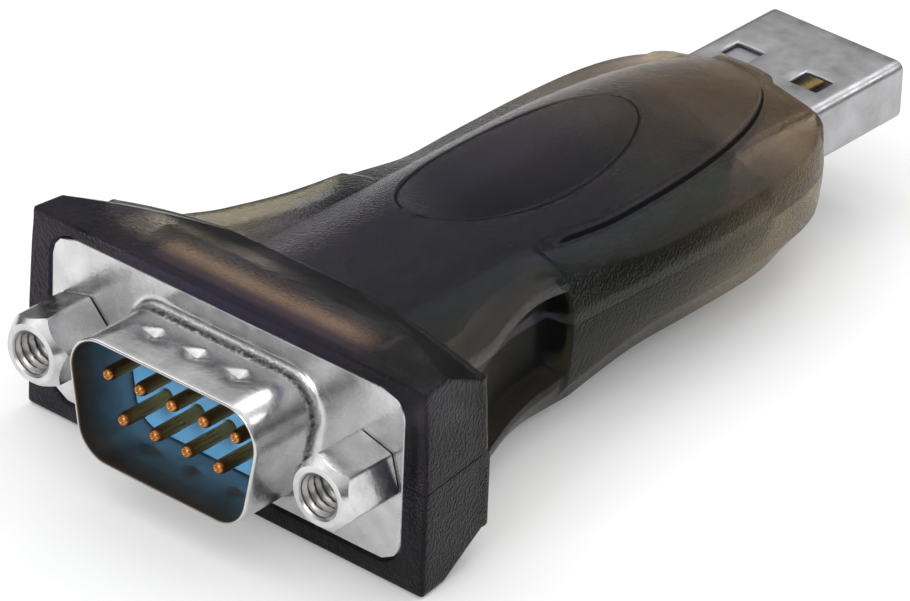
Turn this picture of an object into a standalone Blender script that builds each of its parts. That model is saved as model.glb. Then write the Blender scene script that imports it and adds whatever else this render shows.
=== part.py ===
"""Nine-pin serial to USB adapter: two moulded half shells around a circuit board,
with a male serial connector at the front and a USB plug at the rear.

Measures are in millimetres in the connector frame: X to the right as the pins
are faced, Y from the front of the serial flange to the tip of the plug, and Z up
from the middle plane of both connectors. Everything hangs on one empty, which
puts the origin under the middle of the adapter, on the surface it stands on."""

import math

import bmesh
import bpy
import numpy as np

MM = 0.001

# Clearances
SEAT = 0.3  # between pieces that touch on the real object
SOLDER = 0.2  # between the board and what is soldered to it

# Serial connector flange and mouth
FLANGE_END = 2.8  # past the jackscrews' axes
FLANGE_MARGIN = 0.8  # above and below the rear box
FLANGE_CORNER = 1.8
SHEET = 0.4
MOUTH_END = 3.06  # past the outer pins of the long row
MOUTH_TOP = 4.3
MOUTH_BOTTOM = 4.8
MOUTH_DEPTH = 5.9
MOUTH_SLANT = math.radians(10.0)
MOUTH_CORNER = 2.6
ROOT_FILLET = 0.8
DENT_PITCH = 3.65
DENT_BACK = 3.2  # from the mouth's rim to the middle of the dents
DENT_WIDTH = 2.4
DENT_LENGTH = 1.7
DENT_DEPTH = 0.22

# Rear shell and moulded insert of the serial connector
REAR_BOX_SIDE_MARGIN = 1.1  # past the mouth
REAR_BOX_MARGIN = 0.65  # below the mouth
REAR_BOX_DEPTH = 4.2
REAR_BOX_CORNER = 1.2
INSERT_FACE = 0.4  # behind the flange front
INSERT_CORNER = 0.6

# Pins
PIN_PITCH = 2.77
ROW_SPACING = 2.84
PIN_RADIUS = 0.5
PIN_TIP_RADIUS = 0.18
PIN_TIP_BEVEL = 0.5
PIN_REACH = 5.16  # in front of the flange
PIN_TAIL_RADIUS = 0.4
PIN_TAIL = 3.2  # along the board
LONG_ROW_COUNT = 5
SHORT_ROW_COUNT = 4

# Jackscrews
JACK_FLATS = 4.75
JACK_LENGTH = 4.6
JACK_TURN = math.radians(-15.0)
JACK_CHAMFER_RADIUS = 2.15
JACK_BORE_RADIUS = 1.25
JACK_BORE_DEPTH = 4.0
JACK_MOUTH_RADIUS = 1.5
JACK_MOUTH_DEPTH = 0.25
JACK_BEVEL = math.radians(30.0)
STUD_RADIUS = 1.42
STUD_PROUD = 0.6  # behind the nuts
NUT_FLATS = 4.75
NUT_GAP = 0.06  # from the nuts' corners to the rear box
NUT_THICKNESS = 2.2

# Collar of the housing
COLLAR_PROUD = 0.15  # in front of the flange
COLLAR_SIDE_WALL = 2.1  # round the flange
COLLAR_TOP_WALL = 1.15
COLLAR_BOTTOM_WALL = 1.45
LOWER_COLLAR_LAG = 0.3  # of the lower half's back behind the upper half's
COLLAR_TAPER = 0.9  # narrower on each side at its back
COLLAR_DRAFT = 0.35  # narrower on each side at its top
COLLAR_ARC_RADIUS = 29.0  # in plan, where the flat top ends
COLLAR_SLOPE = 0.48  # fall of the bevel behind that arc
CHAMBER_AIR = 0.45  # round the rear shell
NUT_AIR = 0.45  # round the corners of the nuts

# Body of the housing, in plan
FLARE_INSET = 4.1  # from the collar's sides
WAIST_HALF_WIDTH = 10.1
WAIST_BACK = 13.5  # behind the collar
BELLY_HALF_WIDTH = 10.5
BELLY_BACK = 15.5  # behind the waist
TAIL_LENGTH = 17.75  # behind the belly
TAIL_FLAT = 0.25  # cut off the rounded plan at the rear face
TAIL_POWER = 3.5
SIDE_BULGE = 0.4

# Body of the housing, upwards
RIM_FLARE_Z = 4.8
RIM_FRONT_Z = 4.05
RIM_REAR_Z = 2.05
RIM_TAIL_Z = 2.3
RIM_FLARE_LENGTH = 6.0  # behind the collar
RIM_FALL_LEAD = 2.5  # in front of the waist
RIM_FALL_STOP = 3.0  # in front of the belly
TAIL_RISE_LAG = 6.0  # behind the belly
RIM_THICKNESS = 1.1
RIM_BEVEL = 0.45
RIM_CREST = 0.2  # in from the rim's edge over the pockets
SHOULDER_CREST_FRONT = 1.0  # in from the wall behind the pockets
SHOULDER_CREST_REAR = 0.6
SHOULDER_LAG = 4.8  # behind the pockets
LIP_DRAFT = 0.05
PAD_HALF_WIDTH = 6.95
PAD_FRONT_HALF_WIDTH = 6.5
PAD_FRONT_LAG = 1.2  # from the end of the pockets to the start of the step round the pad
PAD_WIDEST_LEAD = 5.0  # in front of the belly
PAD_TIP_BACK = 1.45  # from the rear face
PAD_TIP_FADE = 4.0  # over which the step round the pad dies away
PAD_POWER = 2.4
PAD_EDGE_Z = 4.1
PAD_STEP = 0.6
PAD_STEP_RUN = 0.3
CROWN_RADIUS = 11.0
END_ROUND = 1.9  # along the body, of the edge round its rear face
END_SHARE = 0.74  # of the height that the rear face keeps

# Body of the housing, downwards
KEEL_DROP = 1.1  # how much lower the lower rim runs than the upper one is high
LOWER_CREST = 0.35
UNDER_EDGE_INSET = 1.2
UNDER_EDGE_TAIL_INSET = 2.4
UNDER_EDGE_DROP = 2.3
UNDERSIDE_Z = 6.9
UNDERSIDE_CROWN = 0.15  # least fall from the edges to the middle
UNDERSIDE_TAIL_Z = 4.6

# Side pockets, thumb dish and walls
POCKET_DEPTH = 1.7
POCKET_LAG = 1.7  # of the pockets' ends behind the waist
POCKET_STEP = 0.3
DISH_LEAD = 6.4  # of the dish's middle in front of the belly
DISH_HALF_LENGTH = 11.2
DISH_HALF_WIDTH = 4.75
DISH_DEPTH = 1.25
DISH_BALL_HEIGHT = 3.0  # of the flattened ball that the dish is cut with
WALL = 1.4
ROOF = 4.0  # height of the hollow over the board's middle plane
FLOOR = 4.6  # and its depth under it
SHOULDER_WALL = 1.2
HOLLOW_EDGE_INSET = 0.9
RIB_THICKNESS = 1.2
RIB_FRONT_BACK = 7.0  # behind the collar
RIB_REAR_BACK = 2.0  # behind the belly
RIB_OVERLAP = 0.7  # of the ribs over the board's edge

# Circuit board and what it carries
BOARD_SIDE_GAP = 0.5  # to the walls at the waist
BOARD_THICKNESS = 1.6
BOARD_FRONT_GAP = 1.3  # behind the serial connector
BOARD_REAR_GAP = 1.0  # in front of the plug
CHIP_LEAD_PITCH = 0.65
CHIP_LEAD_WIDTH = 0.3
CHIP_LEAD_THICKNESS = 0.3
CHIP_LEAD_ROOT = 0.4  # inside the chip's body
CHIP_STANDOFF = 0.1
CHIP_DRAFT = 0.1
BRIDGE_CHIP = (5.3, 10.2, 1.75)  # across, along, thickness
BRIDGE_CHIP_FORE = 12.8  # in front of the board's rear edge
BRIDGE_CHIP_LEAD_COUNT = 14
DRIVER_CHIP = (5.3, 7.2, 1.75)
DRIVER_CHIP_BACK = 10.8  # behind the board's front edge
DRIVER_CHIP_LEAD_COUNT = 8
CHIP_LEAD_REACH = 1.25
CRYSTAL_LENGTH = 10.2
CRYSTAL_WIDTH = 3.8
CRYSTAL_HEIGHT = 2.6
CRYSTAL_RIM = 0.35
CRYSTAL_ROUND = 0.3
CHOKE = (2.6, 3.2, 2.2)
CHOKE_FORE = 2.4  # in front of the board's rear edge
CAPACITOR = (1.25, 2.0, 1.0)
RESISTOR = (0.8, 1.6, 0.5)
TERMINAL_LENGTH = 0.35
CAP_PROUD = 0.03
CAPACITOR_INSET = 1.5  # from the board's side edges
CAPACITOR_BACK = (4.8, 10.0, 13.6)  # behind its front edge
RESISTOR_INSET = 1.6
RESISTOR_GAP = 1.6  # from the ends of the bridge chip

# USB plug
PLUG_WIDTH = 12.0
PLUG_HEIGHT = 4.5
PLUG_LENGTH = 18.8
PLUG_OUT = 9.85  # of it outside the housing
PLUG_SHEET = 0.3
PLUG_CORNER = 0.7
WINDOW_FRONT = 5.8  # behind the tip
WINDOW_LENGTH = 2.0
WINDOW_WIDTH = 2.35
WINDOW_INNER_X = 1.9
TONGUE_TOP = -0.2
TONGUE_TIP_BACK = 1.0
PLUG_BLOCK_LENGTH = 5.0
PLUG_BLOCK_BACK = 1.6  # from the rear edge of the shell
CONTACT_X = (-3.5, -1.0, 1.0, 3.5)
CONTACT_WIDTH = 1.0
CONTACT_THICKNESS = 0.25
CONTACT_TIP_BACK = 2.1
CONTACT_TAIL = 2.4  # along the board
CONTACT_RAMP = 1.6
CONTACT_RAMP_END = 1.2  # inside the shell

# Worked out from the sizes above
SEAM = SEAT / 2
HALF_BOARD = BOARD_THICKNESS / 2
MOUTH_WIDTH = (LONG_ROW_COUNT - 1) * PIN_PITCH + 2 * MOUTH_END
REAR_BOX_WIDTH = MOUTH_WIDTH + 2 * REAR_BOX_SIDE_MARGIN
REAR_BOX_HEIGHT = 2 * (MOUTH_BOTTOM + REAR_BOX_MARGIN)
JACK_SPACING = REAR_BOX_WIDTH + 2 * (NUT_FLATS / math.sqrt(3) + NUT_GAP)
FLANGE_WIDTH = JACK_SPACING + 2 * FLANGE_END
FLANGE_HEIGHT = REAR_BOX_HEIGHT + 2 * FLANGE_MARGIN
REAR_PLATE_FRONT = SHEET + SEAT
REAR_PLATE_BACK = REAR_PLATE_FRONT + SHEET
REAR_BOX_BACK = REAR_PLATE_BACK + REAR_BOX_DEPTH
STUD_LENGTH = REAR_PLATE_BACK + SEAT + NUT_THICKNESS + STUD_PROUD
CHAMBER_FRONT = REAR_PLATE_BACK + SEAT
CHAMBER_BACK = REAR_BOX_BACK + SEAT
COLLAR_DEPTH = CHAMBER_BACK + WALL
LOWER_COLLAR_DEPTH = COLLAR_DEPTH + LOWER_COLLAR_LAG
COLLAR_HALF_WIDTH = FLANGE_WIDTH / 2 + COLLAR_SIDE_WALL
COLLAR_TOP = FLANGE_HEIGHT / 2 + COLLAR_TOP_WALL
COLLAR_BOTTOM = FLANGE_HEIGHT / 2 + COLLAR_BOTTOM_WALL
FLARE_HALF_WIDTH = COLLAR_HALF_WIDTH - FLARE_INSET
WAIST_Y = COLLAR_DEPTH + WAIST_BACK
POCKET_END = WAIST_Y + POCKET_LAG
BELLY_Y = WAIST_Y + BELLY_BACK
BODY_END = BELLY_Y + TAIL_LENGTH
TAIL_ROUND_END = BODY_END + TAIL_FLAT
RIM_FLARE_END = COLLAR_DEPTH + RIM_FLARE_LENGTH
RIM_FALL_START = WAIST_Y - RIM_FALL_LEAD
RIM_FALL_END = BELLY_Y - RIM_FALL_STOP
TAIL_RISE_START = BELLY_Y + TAIL_RISE_LAG
SHOULDER_START = POCKET_END + SHOULDER_LAG
PAD_FRONT_Y = POCKET_END + PAD_FRONT_LAG
PAD_WIDEST_Y = BELLY_Y - PAD_WIDEST_LEAD
PAD_TIP_Y = BODY_END - PAD_TIP_BACK
DISH_Y = BELLY_Y - DISH_LEAD
RIB_FRONT_Y = COLLAR_DEPTH + RIB_FRONT_BACK
RIB_REAR_Y = BELLY_Y + RIB_REAR_BACK
PLUG_TIP = BODY_END + PLUG_OUT
PLUG_REAR = PLUG_TIP - PLUG_LENGTH
BOARD_HALF_WIDTH = WAIST_HALF_WIDTH - POCKET_DEPTH - WALL - BOARD_SIDE_GAP
BOARD_FRONT = REAR_BOX_BACK + BOARD_FRONT_GAP
BOARD_REAR = PLUG_REAR - BOARD_REAR_GAP
BRIDGE_CHIP_Y = BOARD_REAR - BRIDGE_CHIP_FORE
DRIVER_CHIP_Y = BOARD_FRONT + DRIVER_CHIP_BACK
CRYSTAL_Y = BRIDGE_CHIP_Y
CHOKE_Y = BOARD_REAR - CHOKE_FORE
CAPACITOR_X = BOARD_HALF_WIDTH - CAPACITOR_INSET
RESISTOR_X = BOARD_HALF_WIDTH - RESISTOR_INSET
RESISTOR_Y_STEP = BRIDGE_CHIP[1] / 2 + RESISTOR_GAP
LENGTH_MIDDLE = (PLUG_TIP - MOUTH_DEPTH) / 2
CUT_PAST = 2.0  # how far a cutter reaches past what it opens
REAR_STATIONS_BACK = (6.0, 4.0, 2.8, 1.8, 1.0, 0.4, 0.0)  # sections close to the rear face
STATION_MARGIN = 2.0  # along the body, between its even sections and the close ones
CORNER_STEPS = 5
ROUND_STEPS = 24


def clear_scene():
    for old in list(bpy.data.objects):
        bpy.data.objects.remove(old, do_unlink=True)


def material(name, colour, roughness, metallic=0.0, alpha=1.0):
    made = bpy.data.materials.new(name)
    made.use_nodes = True
    shader = made.node_tree.nodes["Principled BSDF"]
    shader.inputs["Base Color"].default_value = (*colour, 1.0)
    shader.inputs["Roughness"].default_value = roughness
    shader.inputs["Metallic"].default_value = metallic
    shader.inputs["Alpha"].default_value = alpha
    made.diffuse_color = (*colour, alpha)
    return made


def make_object(name, bm, finish, origin):
    """An object from a bmesh in millimetres, with its faces turned out, under the origin empty."""
    bmesh.ops.remove_doubles(bm, verts=bm.verts, dist=1e-5)
    bmesh.ops.triangulate(bm, faces=bm.faces)
    bmesh.ops.recalc_face_normals(bm, faces=bm.faces)
    bmesh.ops.scale(bm, vec=(MM, MM, MM), verts=bm.verts)
    mesh = bpy.data.meshes.new(name)
    bm.to_mesh(mesh)
    bm.free()
    if finish is not None:
        mesh.materials.append(finish)
    made = bpy.data.objects.new(name, mesh)
    bpy.context.scene.collection.objects.link(made)
    made.parent = origin
    return made


def smooth_rounds(made, degrees=35.0):
    made.data.shade_smooth()
    made.data.set_sharp_from_angle(angle=math.radians(degrees))


def as_helper(made):
    made.hide_render = True
    made.display_type = "WIRE"
    return made


def combine(target, other, operation):
    step = target.modifiers.new(f"{operation.lower()} {other.name}", "BOOLEAN")
    step.object = other
    step.operation = operation
    step.solver = "EXACT"


def loft(rings, close_path=False, bm=None):
    """A bmesh skinned over closed rings of equal count: capped at both ends, or closed on itself."""
    bm = bm or bmesh.new()
    rows = [[bm.verts.new(point) for point in ring] for ring in rings]
    pairs = list(zip(rows, rows[1:]))
    if close_path:
        pairs.append((rows[-1], rows[0]))
    for near, far in pairs:
        for i in range(len(near)):
            j = (i + 1) % len(near)
            bm.faces.new((near[i], near[j], far[j], far[i]))
    if not close_path:
        bm.faces.new(rows[0])
        bm.faces.new(rows[-1])
    return bm


def box(bm, low, high):
    """Adds a closed box between two corners."""
    made = bmesh.ops.create_cube(bm, size=1.0)["verts"]
    low = np.array(low, float)
    high = np.array(high, float)
    bmesh.ops.scale(bm, vec=high - low, verts=made)
    bmesh.ops.translate(bm, vec=(low + high) / 2, verts=made)


def box_object(name, boxes, finish, origin):
    bm = bmesh.new()
    for low, high in boxes:
        box(bm, low, high)
    return make_object(name, bm, finish, origin)


def rounded_outline(corners, radius):
    """Points round a convex outline of (x, z) corners, each corner an arc of the given radius."""
    count = len(corners)
    points = []
    for k in range(count):
        here = np.array(corners[k], float)
        back = np.array(corners[k - 1], float) - here
        ahead = np.array(corners[(k + 1) % count], float) - here
        back /= np.linalg.norm(back)
        ahead /= np.linalg.norm(ahead)
        half = math.acos(float(np.clip(back @ ahead, -1, 1))) / 2
        bisector = (back + ahead) / np.linalg.norm(back + ahead)
        centre = here + bisector * radius / math.sin(half)
        start = here + back * radius / math.tan(half) - centre
        end = here + ahead * radius / math.tan(half) - centre
        sweep = math.pi - 2 * half
        for i in range(CORNER_STEPS + 1):
            t = i / CORNER_STEPS
            a = math.sin((1 - t) * sweep) / math.sin(sweep)
            b = math.sin(t * sweep) / math.sin(sweep)
            points.append(tuple(centre + a * start + b * end))
    return points


def rectangle(half_width, half_height, radius):
    corners = ((half_width, half_height), (-half_width, half_height),
               (-half_width, -half_height), (half_width, -half_height))
    return rounded_outline(corners, radius)


def mouth_outline(outward):
    """The D of the connector mouth, moved outwards by a distance: wide above, slanting in below."""
    slant = math.tan(MOUTH_SLANT)
    side = outward / math.cos(MOUTH_SLANT)
    top = MOUTH_WIDTH / 2 + side + outward * slant
    bottom = MOUTH_WIDTH / 2 - (MOUTH_TOP + MOUTH_BOTTOM) * slant + side - outward * slant
    high = MOUTH_TOP + outward
    low = -MOUTH_BOTTOM - outward
    corners = ((top, high), (-top, high), (-bottom, low), (bottom, low))
    return rounded_outline(corners, MOUTH_CORNER + outward)


def ring_at(outline, y):
    return [(x, y, z) for x, z in outline]


def circle(radius, centre_x=0.0, centre_z=0.0, steps=ROUND_STEPS):
    turns = (2 * math.pi * i / steps for i in range(steps))
    return [(centre_x + radius * math.cos(a), centre_z + radius * math.sin(a)) for a in turns]


def ease(start, end, y, y_start, y_end):
    """A half cosine from one value to another, level outside the two places."""
    t = min(max((y - y_start) / (y_end - y_start), 0.0), 1.0)
    return start + (end - start) * (1 - math.cos(math.pi * t)) / 2


def arc_drop(x, radius=CROWN_RADIUS):
    """How far a circular crown has fallen at a distance from its middle."""
    return radius - math.sqrt(max(radius * radius - x * x, 0.0))


def tail_share(y):
    """Share of the belly's width that the rounded rear end keeps."""
    t = max((y - BELLY_Y) / (TAIL_ROUND_END - BELLY_Y), 0.0)
    return (1 - t**TAIL_POWER) ** (1 / TAIL_POWER)


def rim_x(y):
    if y < WAIST_Y:
        return ease(FLARE_HALF_WIDTH, WAIST_HALF_WIDTH, y, COLLAR_DEPTH, WAIST_Y)
    return ease(WAIST_HALF_WIDTH, BELLY_HALF_WIDTH, y, WAIST_Y, BELLY_Y) * tail_share(y)


def wall_x(y):
    if y <= POCKET_END:
        return rim_x(y) - POCKET_DEPTH
    return rim_x(y) + SIDE_BULGE


def rim_z(y):
    if y < RIM_FLARE_END:
        return ease(RIM_FLARE_Z, RIM_FRONT_Z, y, COLLAR_DEPTH, RIM_FLARE_END)
    if y < TAIL_RISE_START:
        return ease(RIM_FRONT_Z, RIM_REAR_Z, y, RIM_FALL_START, RIM_FALL_END)
    return ease(RIM_REAR_Z, RIM_TAIL_Z, y, TAIL_RISE_START, BODY_END)


def pad_x(y):
    if y < PAD_WIDEST_Y:
        return ease(PAD_FRONT_HALF_WIDTH, PAD_HALF_WIDTH, y, PAD_FRONT_Y, PAD_WIDEST_Y)
    t = min((y - PAD_WIDEST_Y) / (PAD_TIP_Y - PAD_WIDEST_Y), 0.998)
    return PAD_HALF_WIDTH * (1 - t**PAD_POWER) ** (1 / PAD_POWER)


def crown_z(x, y):
    reach = PAD_HALF_WIDTH if y < PAD_WIDEST_Y else pad_x(y)
    return PAD_EDGE_Z + arc_drop(reach) - arc_drop(x)


def pad_step(y):
    """Depth of the step round the pad, which starts sharply and dies away at the tip."""
    grown = ease(0.0, PAD_STEP, y, POCKET_END, PAD_FRONT_Y)
    return ease(grown, 0.0, y, PAD_TIP_Y - PAD_TIP_FADE, PAD_TIP_Y)


def shoulder(wall, crest, low, high):
    """Section of a flank that leans in more and more from the wall at the seam to its crest."""
    shares = (0.0, 0.3, 0.6, 0.85, 1.0)
    return [(wall - (wall - crest) * s * s, low + (high - low) * s) for s in shares]


def flank(y, crest, side):
    """Section of one flank: a recess under a rim beside the pocket, a leaning wall behind it."""
    high = rim_z(y) if side > 0 else rim_z(y) + KEEL_DROP
    if y > POCKET_END:
        points = shoulder(wall_x(y), crest, SEAM, high)
    else:
        lip = high - RIM_THICKNESS
        points = [
            (wall_x(y), SEAM),
            (wall_x(y), lip - LIP_DRAFT),
            (rim_x(y), lip + LIP_DRAFT),
            (rim_x(y), high - RIM_BEVEL),
            (crest, high),
        ]
    return [(x, side * z) for x, z in points]


def upper_crest(y):
    if y <= POCKET_END:
        return rim_x(y) - RIM_CREST
    return wall_x(y) - ease(SHOULDER_CREST_FRONT, SHOULDER_CREST_REAR, y, SHOULDER_START, RIM_FALL_END)


def upper_profile(y):
    """Half of the body's section above the seam, from the wall over the rim and pad to the crest."""
    crest, edge = upper_crest(y), pad_x(y)
    foot_z = crown_z(edge, y) - pad_step(y)
    foot = (min(edge + PAD_STEP_RUN, crest - PAD_STEP_RUN), foot_z)
    crown = [(edge * s, crown_z(edge * s, y)) for s in (1.0, 0.85, 0.68, 0.5, 0.25, 0.0)]
    return flank(y, crest, 1) + [foot] + crown


def underside_z(y):
    return -ease(UNDERSIDE_Z, UNDERSIDE_TAIL_Z, y, TAIL_RISE_START, BODY_END)


def under_edge(y):
    """Where the lower rim's bevel meets the underside."""
    low = -(rim_z(y) + KEEL_DROP)
    inset = ease(UNDER_EDGE_INSET, UNDER_EDGE_TAIL_INSET, y, TAIL_RISE_START, BODY_END)
    return rim_x(y) - inset, max(low - UNDER_EDGE_DROP, underside_z(y) + UNDERSIDE_CROWN)


def lower_profile(y):
    """Half of the body's section below the seam, from the wall under the rim to the keel."""
    crest = rim_x(y) - RIM_CREST if y <= POCKET_END else wall_x(y) - LOWER_CREST
    keel = underside_z(y)
    edge_x, edge_z = under_edge(y)
    shares = (1.0, 0.8, 0.6, 0.4, 0.2, 0.0)
    return flank(y, crest, -1) + [(edge_x * s, keel + (edge_z - keel) * s * s) for s in shares]


def end_share(y):
    """Share of the height that is left along the quarter round at the rear end."""
    t = min(max((y - BODY_END + END_ROUND) / END_ROUND, 0.0), 1.0)
    return 1 - (1 - END_SHARE) * (1 - math.sqrt(1 - t * t))


def body_ring(profile, y):
    """The section at one station, lowered towards the seam where the rear end is rounded."""
    share = end_share(y)
    return mirrored([(x, z if abs(z) <= SEAM else z * share) for x, z in profile(y)], y)


def mirrored(profile, y):
    """The closed ring of a half section: right side, then the left side back to the seam."""
    right = [(x, y, z) for x, z in profile]
    left = [(-x, y, z) for x, z in reversed(profile[:-1])]
    return right + left


def body_stations():
    """Places of the sections: even ones, closer at the rear end, and one on each side of a step."""
    last = BODY_END - REAR_STATIONS_BACK[0] - STATION_MARGIN
    places = list(np.linspace(COLLAR_DEPTH / 3, POCKET_END, 10))
    places += [POCKET_END + POCKET_STEP, PAD_FRONT_Y]
    places += list(np.linspace(PAD_FRONT_Y + STATION_MARGIN, last, 8))
    places += [BODY_END - back for back in REAR_STATIONS_BACK]
    places.sort()
    return places


def collar_profile(y, side):
    """Half of the collar's section: flat above (side 1) or below (side -1), falling off behind an arc."""
    depth = COLLAR_DEPTH if side > 0 else LOWER_COLLAR_DEPTH
    height = COLLAR_TOP if side > 0 else COLLAR_BOTTOM
    half = COLLAR_HALF_WIDTH - COLLAR_TAPER * (y + COLLAR_PROUD) / (depth + COLLAR_PROUD)
    reach = half - COLLAR_DRAFT if side > 0 else half
    points = [(half, side * SEAM)]
    for share in (1.0, 0.9, 0.8, 0.7, 0.6, 0.5, 0.35, 0.2, 0.0):
        x = reach * share
        flat_end = depth - x * x / (2 * COLLAR_ARC_RADIUS)
        fall = COLLAR_SLOPE * max(y - flat_end, 0.0)
        points.append((x, side * (height - fall)))
    return points


def hollow_profile(y, side):
    """Half of the hollow's section above (side 1) or below (side -1) the seam, past which it reaches."""
    wall = wall_x(y) - WALL
    if side > 0:
        shoulder = rim_z(y) - SHOULDER_WALL
        edge = pad_x(y) - HOLLOW_EDGE_INSET
        edge_z = crown_z(edge, y) - pad_step(y) / 2 - WALL
        roof = ROOF
    else:
        shoulder = rim_z(y) + KEEL_DROP - SHOULDER_WALL
        edge, edge_z = under_edge(y)
        edge -= HOLLOW_EDGE_INSET
        edge_z = -edge_z - WALL
        roof = min(FLOOR, -underside_z(y) - WALL)
    edge = min(edge, wall - 0.1)
    edge_z = min(edge_z, roof - 0.1)
    points = ((wall, -2 * SEAM), (wall, shoulder), (edge, edge_z), (edge * 0.6, roof), (0.0, roof))
    return [(x, side * z) for x, z in points]


def housing_half(name, side, finish, origin, cutters):
    """One moulded half: body and collar, hollowed, with the seats for both connectors."""
    profile = upper_profile if side > 0 else lower_profile
    body = make_object(name, loft([body_ring(profile, y) for y in body_stations()]), finish, origin)
    depth = COLLAR_DEPTH if side > 0 else LOWER_COLLAR_DEPTH
    stations = [-COLLAR_PROUD] + list(np.linspace(1.5, depth, 6))
    collar = loft([mirrored(collar_profile(y, side), y) for y in stations])
    collar = as_helper(make_object(f"{name}_collar", collar, None, origin))
    combine(body, collar, "UNION")
    ends = (CHAMBER_BACK - 1.0, PLUG_REAR + 1.0)
    places = [ends[0]] + [y for y in body_stations() if ends[0] + 0.5 < y < ends[1] - 0.5] + [ends[1]]
    hollow = loft([mirrored(hollow_profile(y, side), y) for y in places])
    hollow = as_helper(make_object(f"{name}_hollow", hollow, None, origin))
    combine(hollow, rib_set(f"{name}_ribs", side, origin), "DIFFERENCE")
    combine(body, hollow, "DIFFERENCE")
    for cutter in cutters:
        combine(body, cutter, "DIFFERENCE")
    smooth_rounds(body, 30.0)
    return body


def rib_set(name, side, origin):
    """Cross ribs, kept when the hollow is cut, that reach from its side walls to the board."""
    near = side * (HALF_BOARD + SEAT)
    boxes = []
    for y in (RIB_FRONT_Y, RIB_REAR_Y):
        for hand in (-1, 1):
            xs = sorted((hand * (BOARD_HALF_WIDTH - RIB_OVERLAP), hand * wall_x(y)))
            zs = sorted((near, side * UNDERSIDE_Z))
            boxes.append(((xs[0], y - RIB_THICKNESS / 2, zs[0]), (xs[1], y + RIB_THICKNESS / 2, zs[1])))
    return as_helper(box_object(name, boxes, None, origin))


def housing_cutters(origin):
    """Cutters that both halves share: flange seat, nut chamber and plug opening."""
    seat = loft([
        ring_at(rectangle(FLANGE_WIDTH / 2 + SEAT, FLANGE_HEIGHT / 2 + SEAT, FLANGE_CORNER), -CUT_PAST),
        ring_at(rectangle(FLANGE_WIDTH / 2 + SEAT, FLANGE_HEIGHT / 2 + SEAT, FLANGE_CORNER), CHAMBER_FRONT),
    ])
    seat = as_helper(make_object("flange_seat_cutter", seat, None, origin))
    across = REAR_BOX_WIDTH / 2 + CHAMBER_AIR
    high = REAR_BOX_HEIGHT / 2 + CHAMBER_AIR
    chamber = as_helper(box_object("chamber_cutter", [
        ((-across, SHEET, -high), (across, CHAMBER_BACK, high)),
    ], None, origin))
    nut = NUT_FLATS / math.sqrt(3) + NUT_AIR
    pockets = as_helper(box_object("nut_pocket_cutter", [
        ((-JACK_SPACING / 2 - nut, REAR_PLATE_FRONT, -nut), (JACK_SPACING / 2 + nut, CHAMBER_BACK - SEAT, nut)),
    ], None, origin))
    wide = PLUG_WIDTH / 2 + SEAT
    high = PLUG_HEIGHT / 2 + SEAT
    opening = as_helper(box_object("plug_opening_cutter", [
        ((-wide, PLUG_REAR - 0.6, -high), (wide, BODY_END + CUT_PAST, high)),
    ], None, origin))
    return [seat, chamber, pockets, opening]


def dish_cutter(origin):
    """A flat ellipsoid whose rim on the crown is the thumb dish."""
    bm = bmesh.new()
    bmesh.ops.create_uvsphere(bm, u_segments=40, v_segments=24, radius=1.0)
    crest = crown_z(0.0, DISH_Y)
    rim = crown_z(DISH_HALF_WIDTH, DISH_Y)
    # The section through the middle passes the rim on both sides and the bottom of the dish.
    centre = crest - DISH_DEPTH + DISH_BALL_HEIGHT
    across = DISH_HALF_WIDTH / math.sqrt(1 - ((centre - rim) / DISH_BALL_HEIGHT) ** 2)
    along = DISH_HALF_LENGTH / math.sqrt(1 - ((centre - crest) / DISH_BALL_HEIGHT) ** 2)
    bmesh.ops.scale(bm, vec=(across, along, DISH_BALL_HEIGHT), verts=bm.verts)
    bmesh.ops.translate(bm, vec=(0.0, DISH_Y, centre), verts=bm.verts)
    return as_helper(make_object("dish_cutter", bm, None, origin))


def serial_shell(finish, origin):
    """Front shell of the serial connector: one pressed sheet, flange and mouth, with its dents."""
    plate = rectangle(FLANGE_WIDTH / 2, FLANGE_HEIGHT / 2, FLANGE_CORNER)
    rings = [ring_at(plate, SHEET), ring_at(plate, 0.0)]
    for i in range(4):
        a = math.pi / 2 * i / 3
        out = ROOT_FILLET * (1 - math.sin(a))
        rings.append(ring_at(mouth_outline(out), -ROOT_FILLET * (1 - math.cos(a))))
    rings.append(ring_at(mouth_outline(0.0), -MOUTH_DEPTH + SHEET / 3))
    rings.append(ring_at(mouth_outline(-SHEET / 3), -MOUTH_DEPTH))
    rings.append(ring_at(mouth_outline(-SHEET), -MOUTH_DEPTH + SHEET / 4))
    inner = ROOT_FILLET + SHEET
    for i in range(4):
        a = math.pi / 2 * (1 - i / 3)
        out = inner * (1 - math.sin(a)) - SHEET
        rings.append(ring_at(mouth_outline(out), SHEET - inner * (1 - math.cos(a))))
    shell = make_object("serial_shell", loft(rings, close_path=True), finish, origin)
    combine(shell, jack_hole_cutter("shell_hole_cutter", origin), "DIFFERENCE")
    combine(shell, dent_cutter(origin), "DIFFERENCE")
    smooth_rounds(shell)
    return shell


def dent_cutter(origin):
    """Three shallow pyramid dents in the mouth's top wall and three in its bottom wall.

    Each cutter is twice as wide as its dent and stands half out of the wall."""
    bm = bmesh.new()
    y = DENT_BACK - MOUTH_DEPTH
    for side, surface in ((1, MOUTH_TOP), (-1, -MOUTH_BOTTOM)):
        lift = side * DENT_DEPTH
        for k in (-1, 0, 1):
            x = k * DENT_PITCH
            tip = bm.verts.new((x, y, surface - lift))
            corners = ((DENT_WIDTH, 0), (0, DENT_LENGTH), (-DENT_WIDTH, 0), (0, -DENT_LENGTH))
            rim = [bm.verts.new((x + dx, y + dy, surface + lift)) for dx, dy in corners]
            for i in range(4):
                bm.faces.new((rim[i], rim[(i + 1) % 4], tip))
            bm.faces.new(rim)
    return as_helper(make_object("dent_cutter", bm, None, origin))


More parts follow.
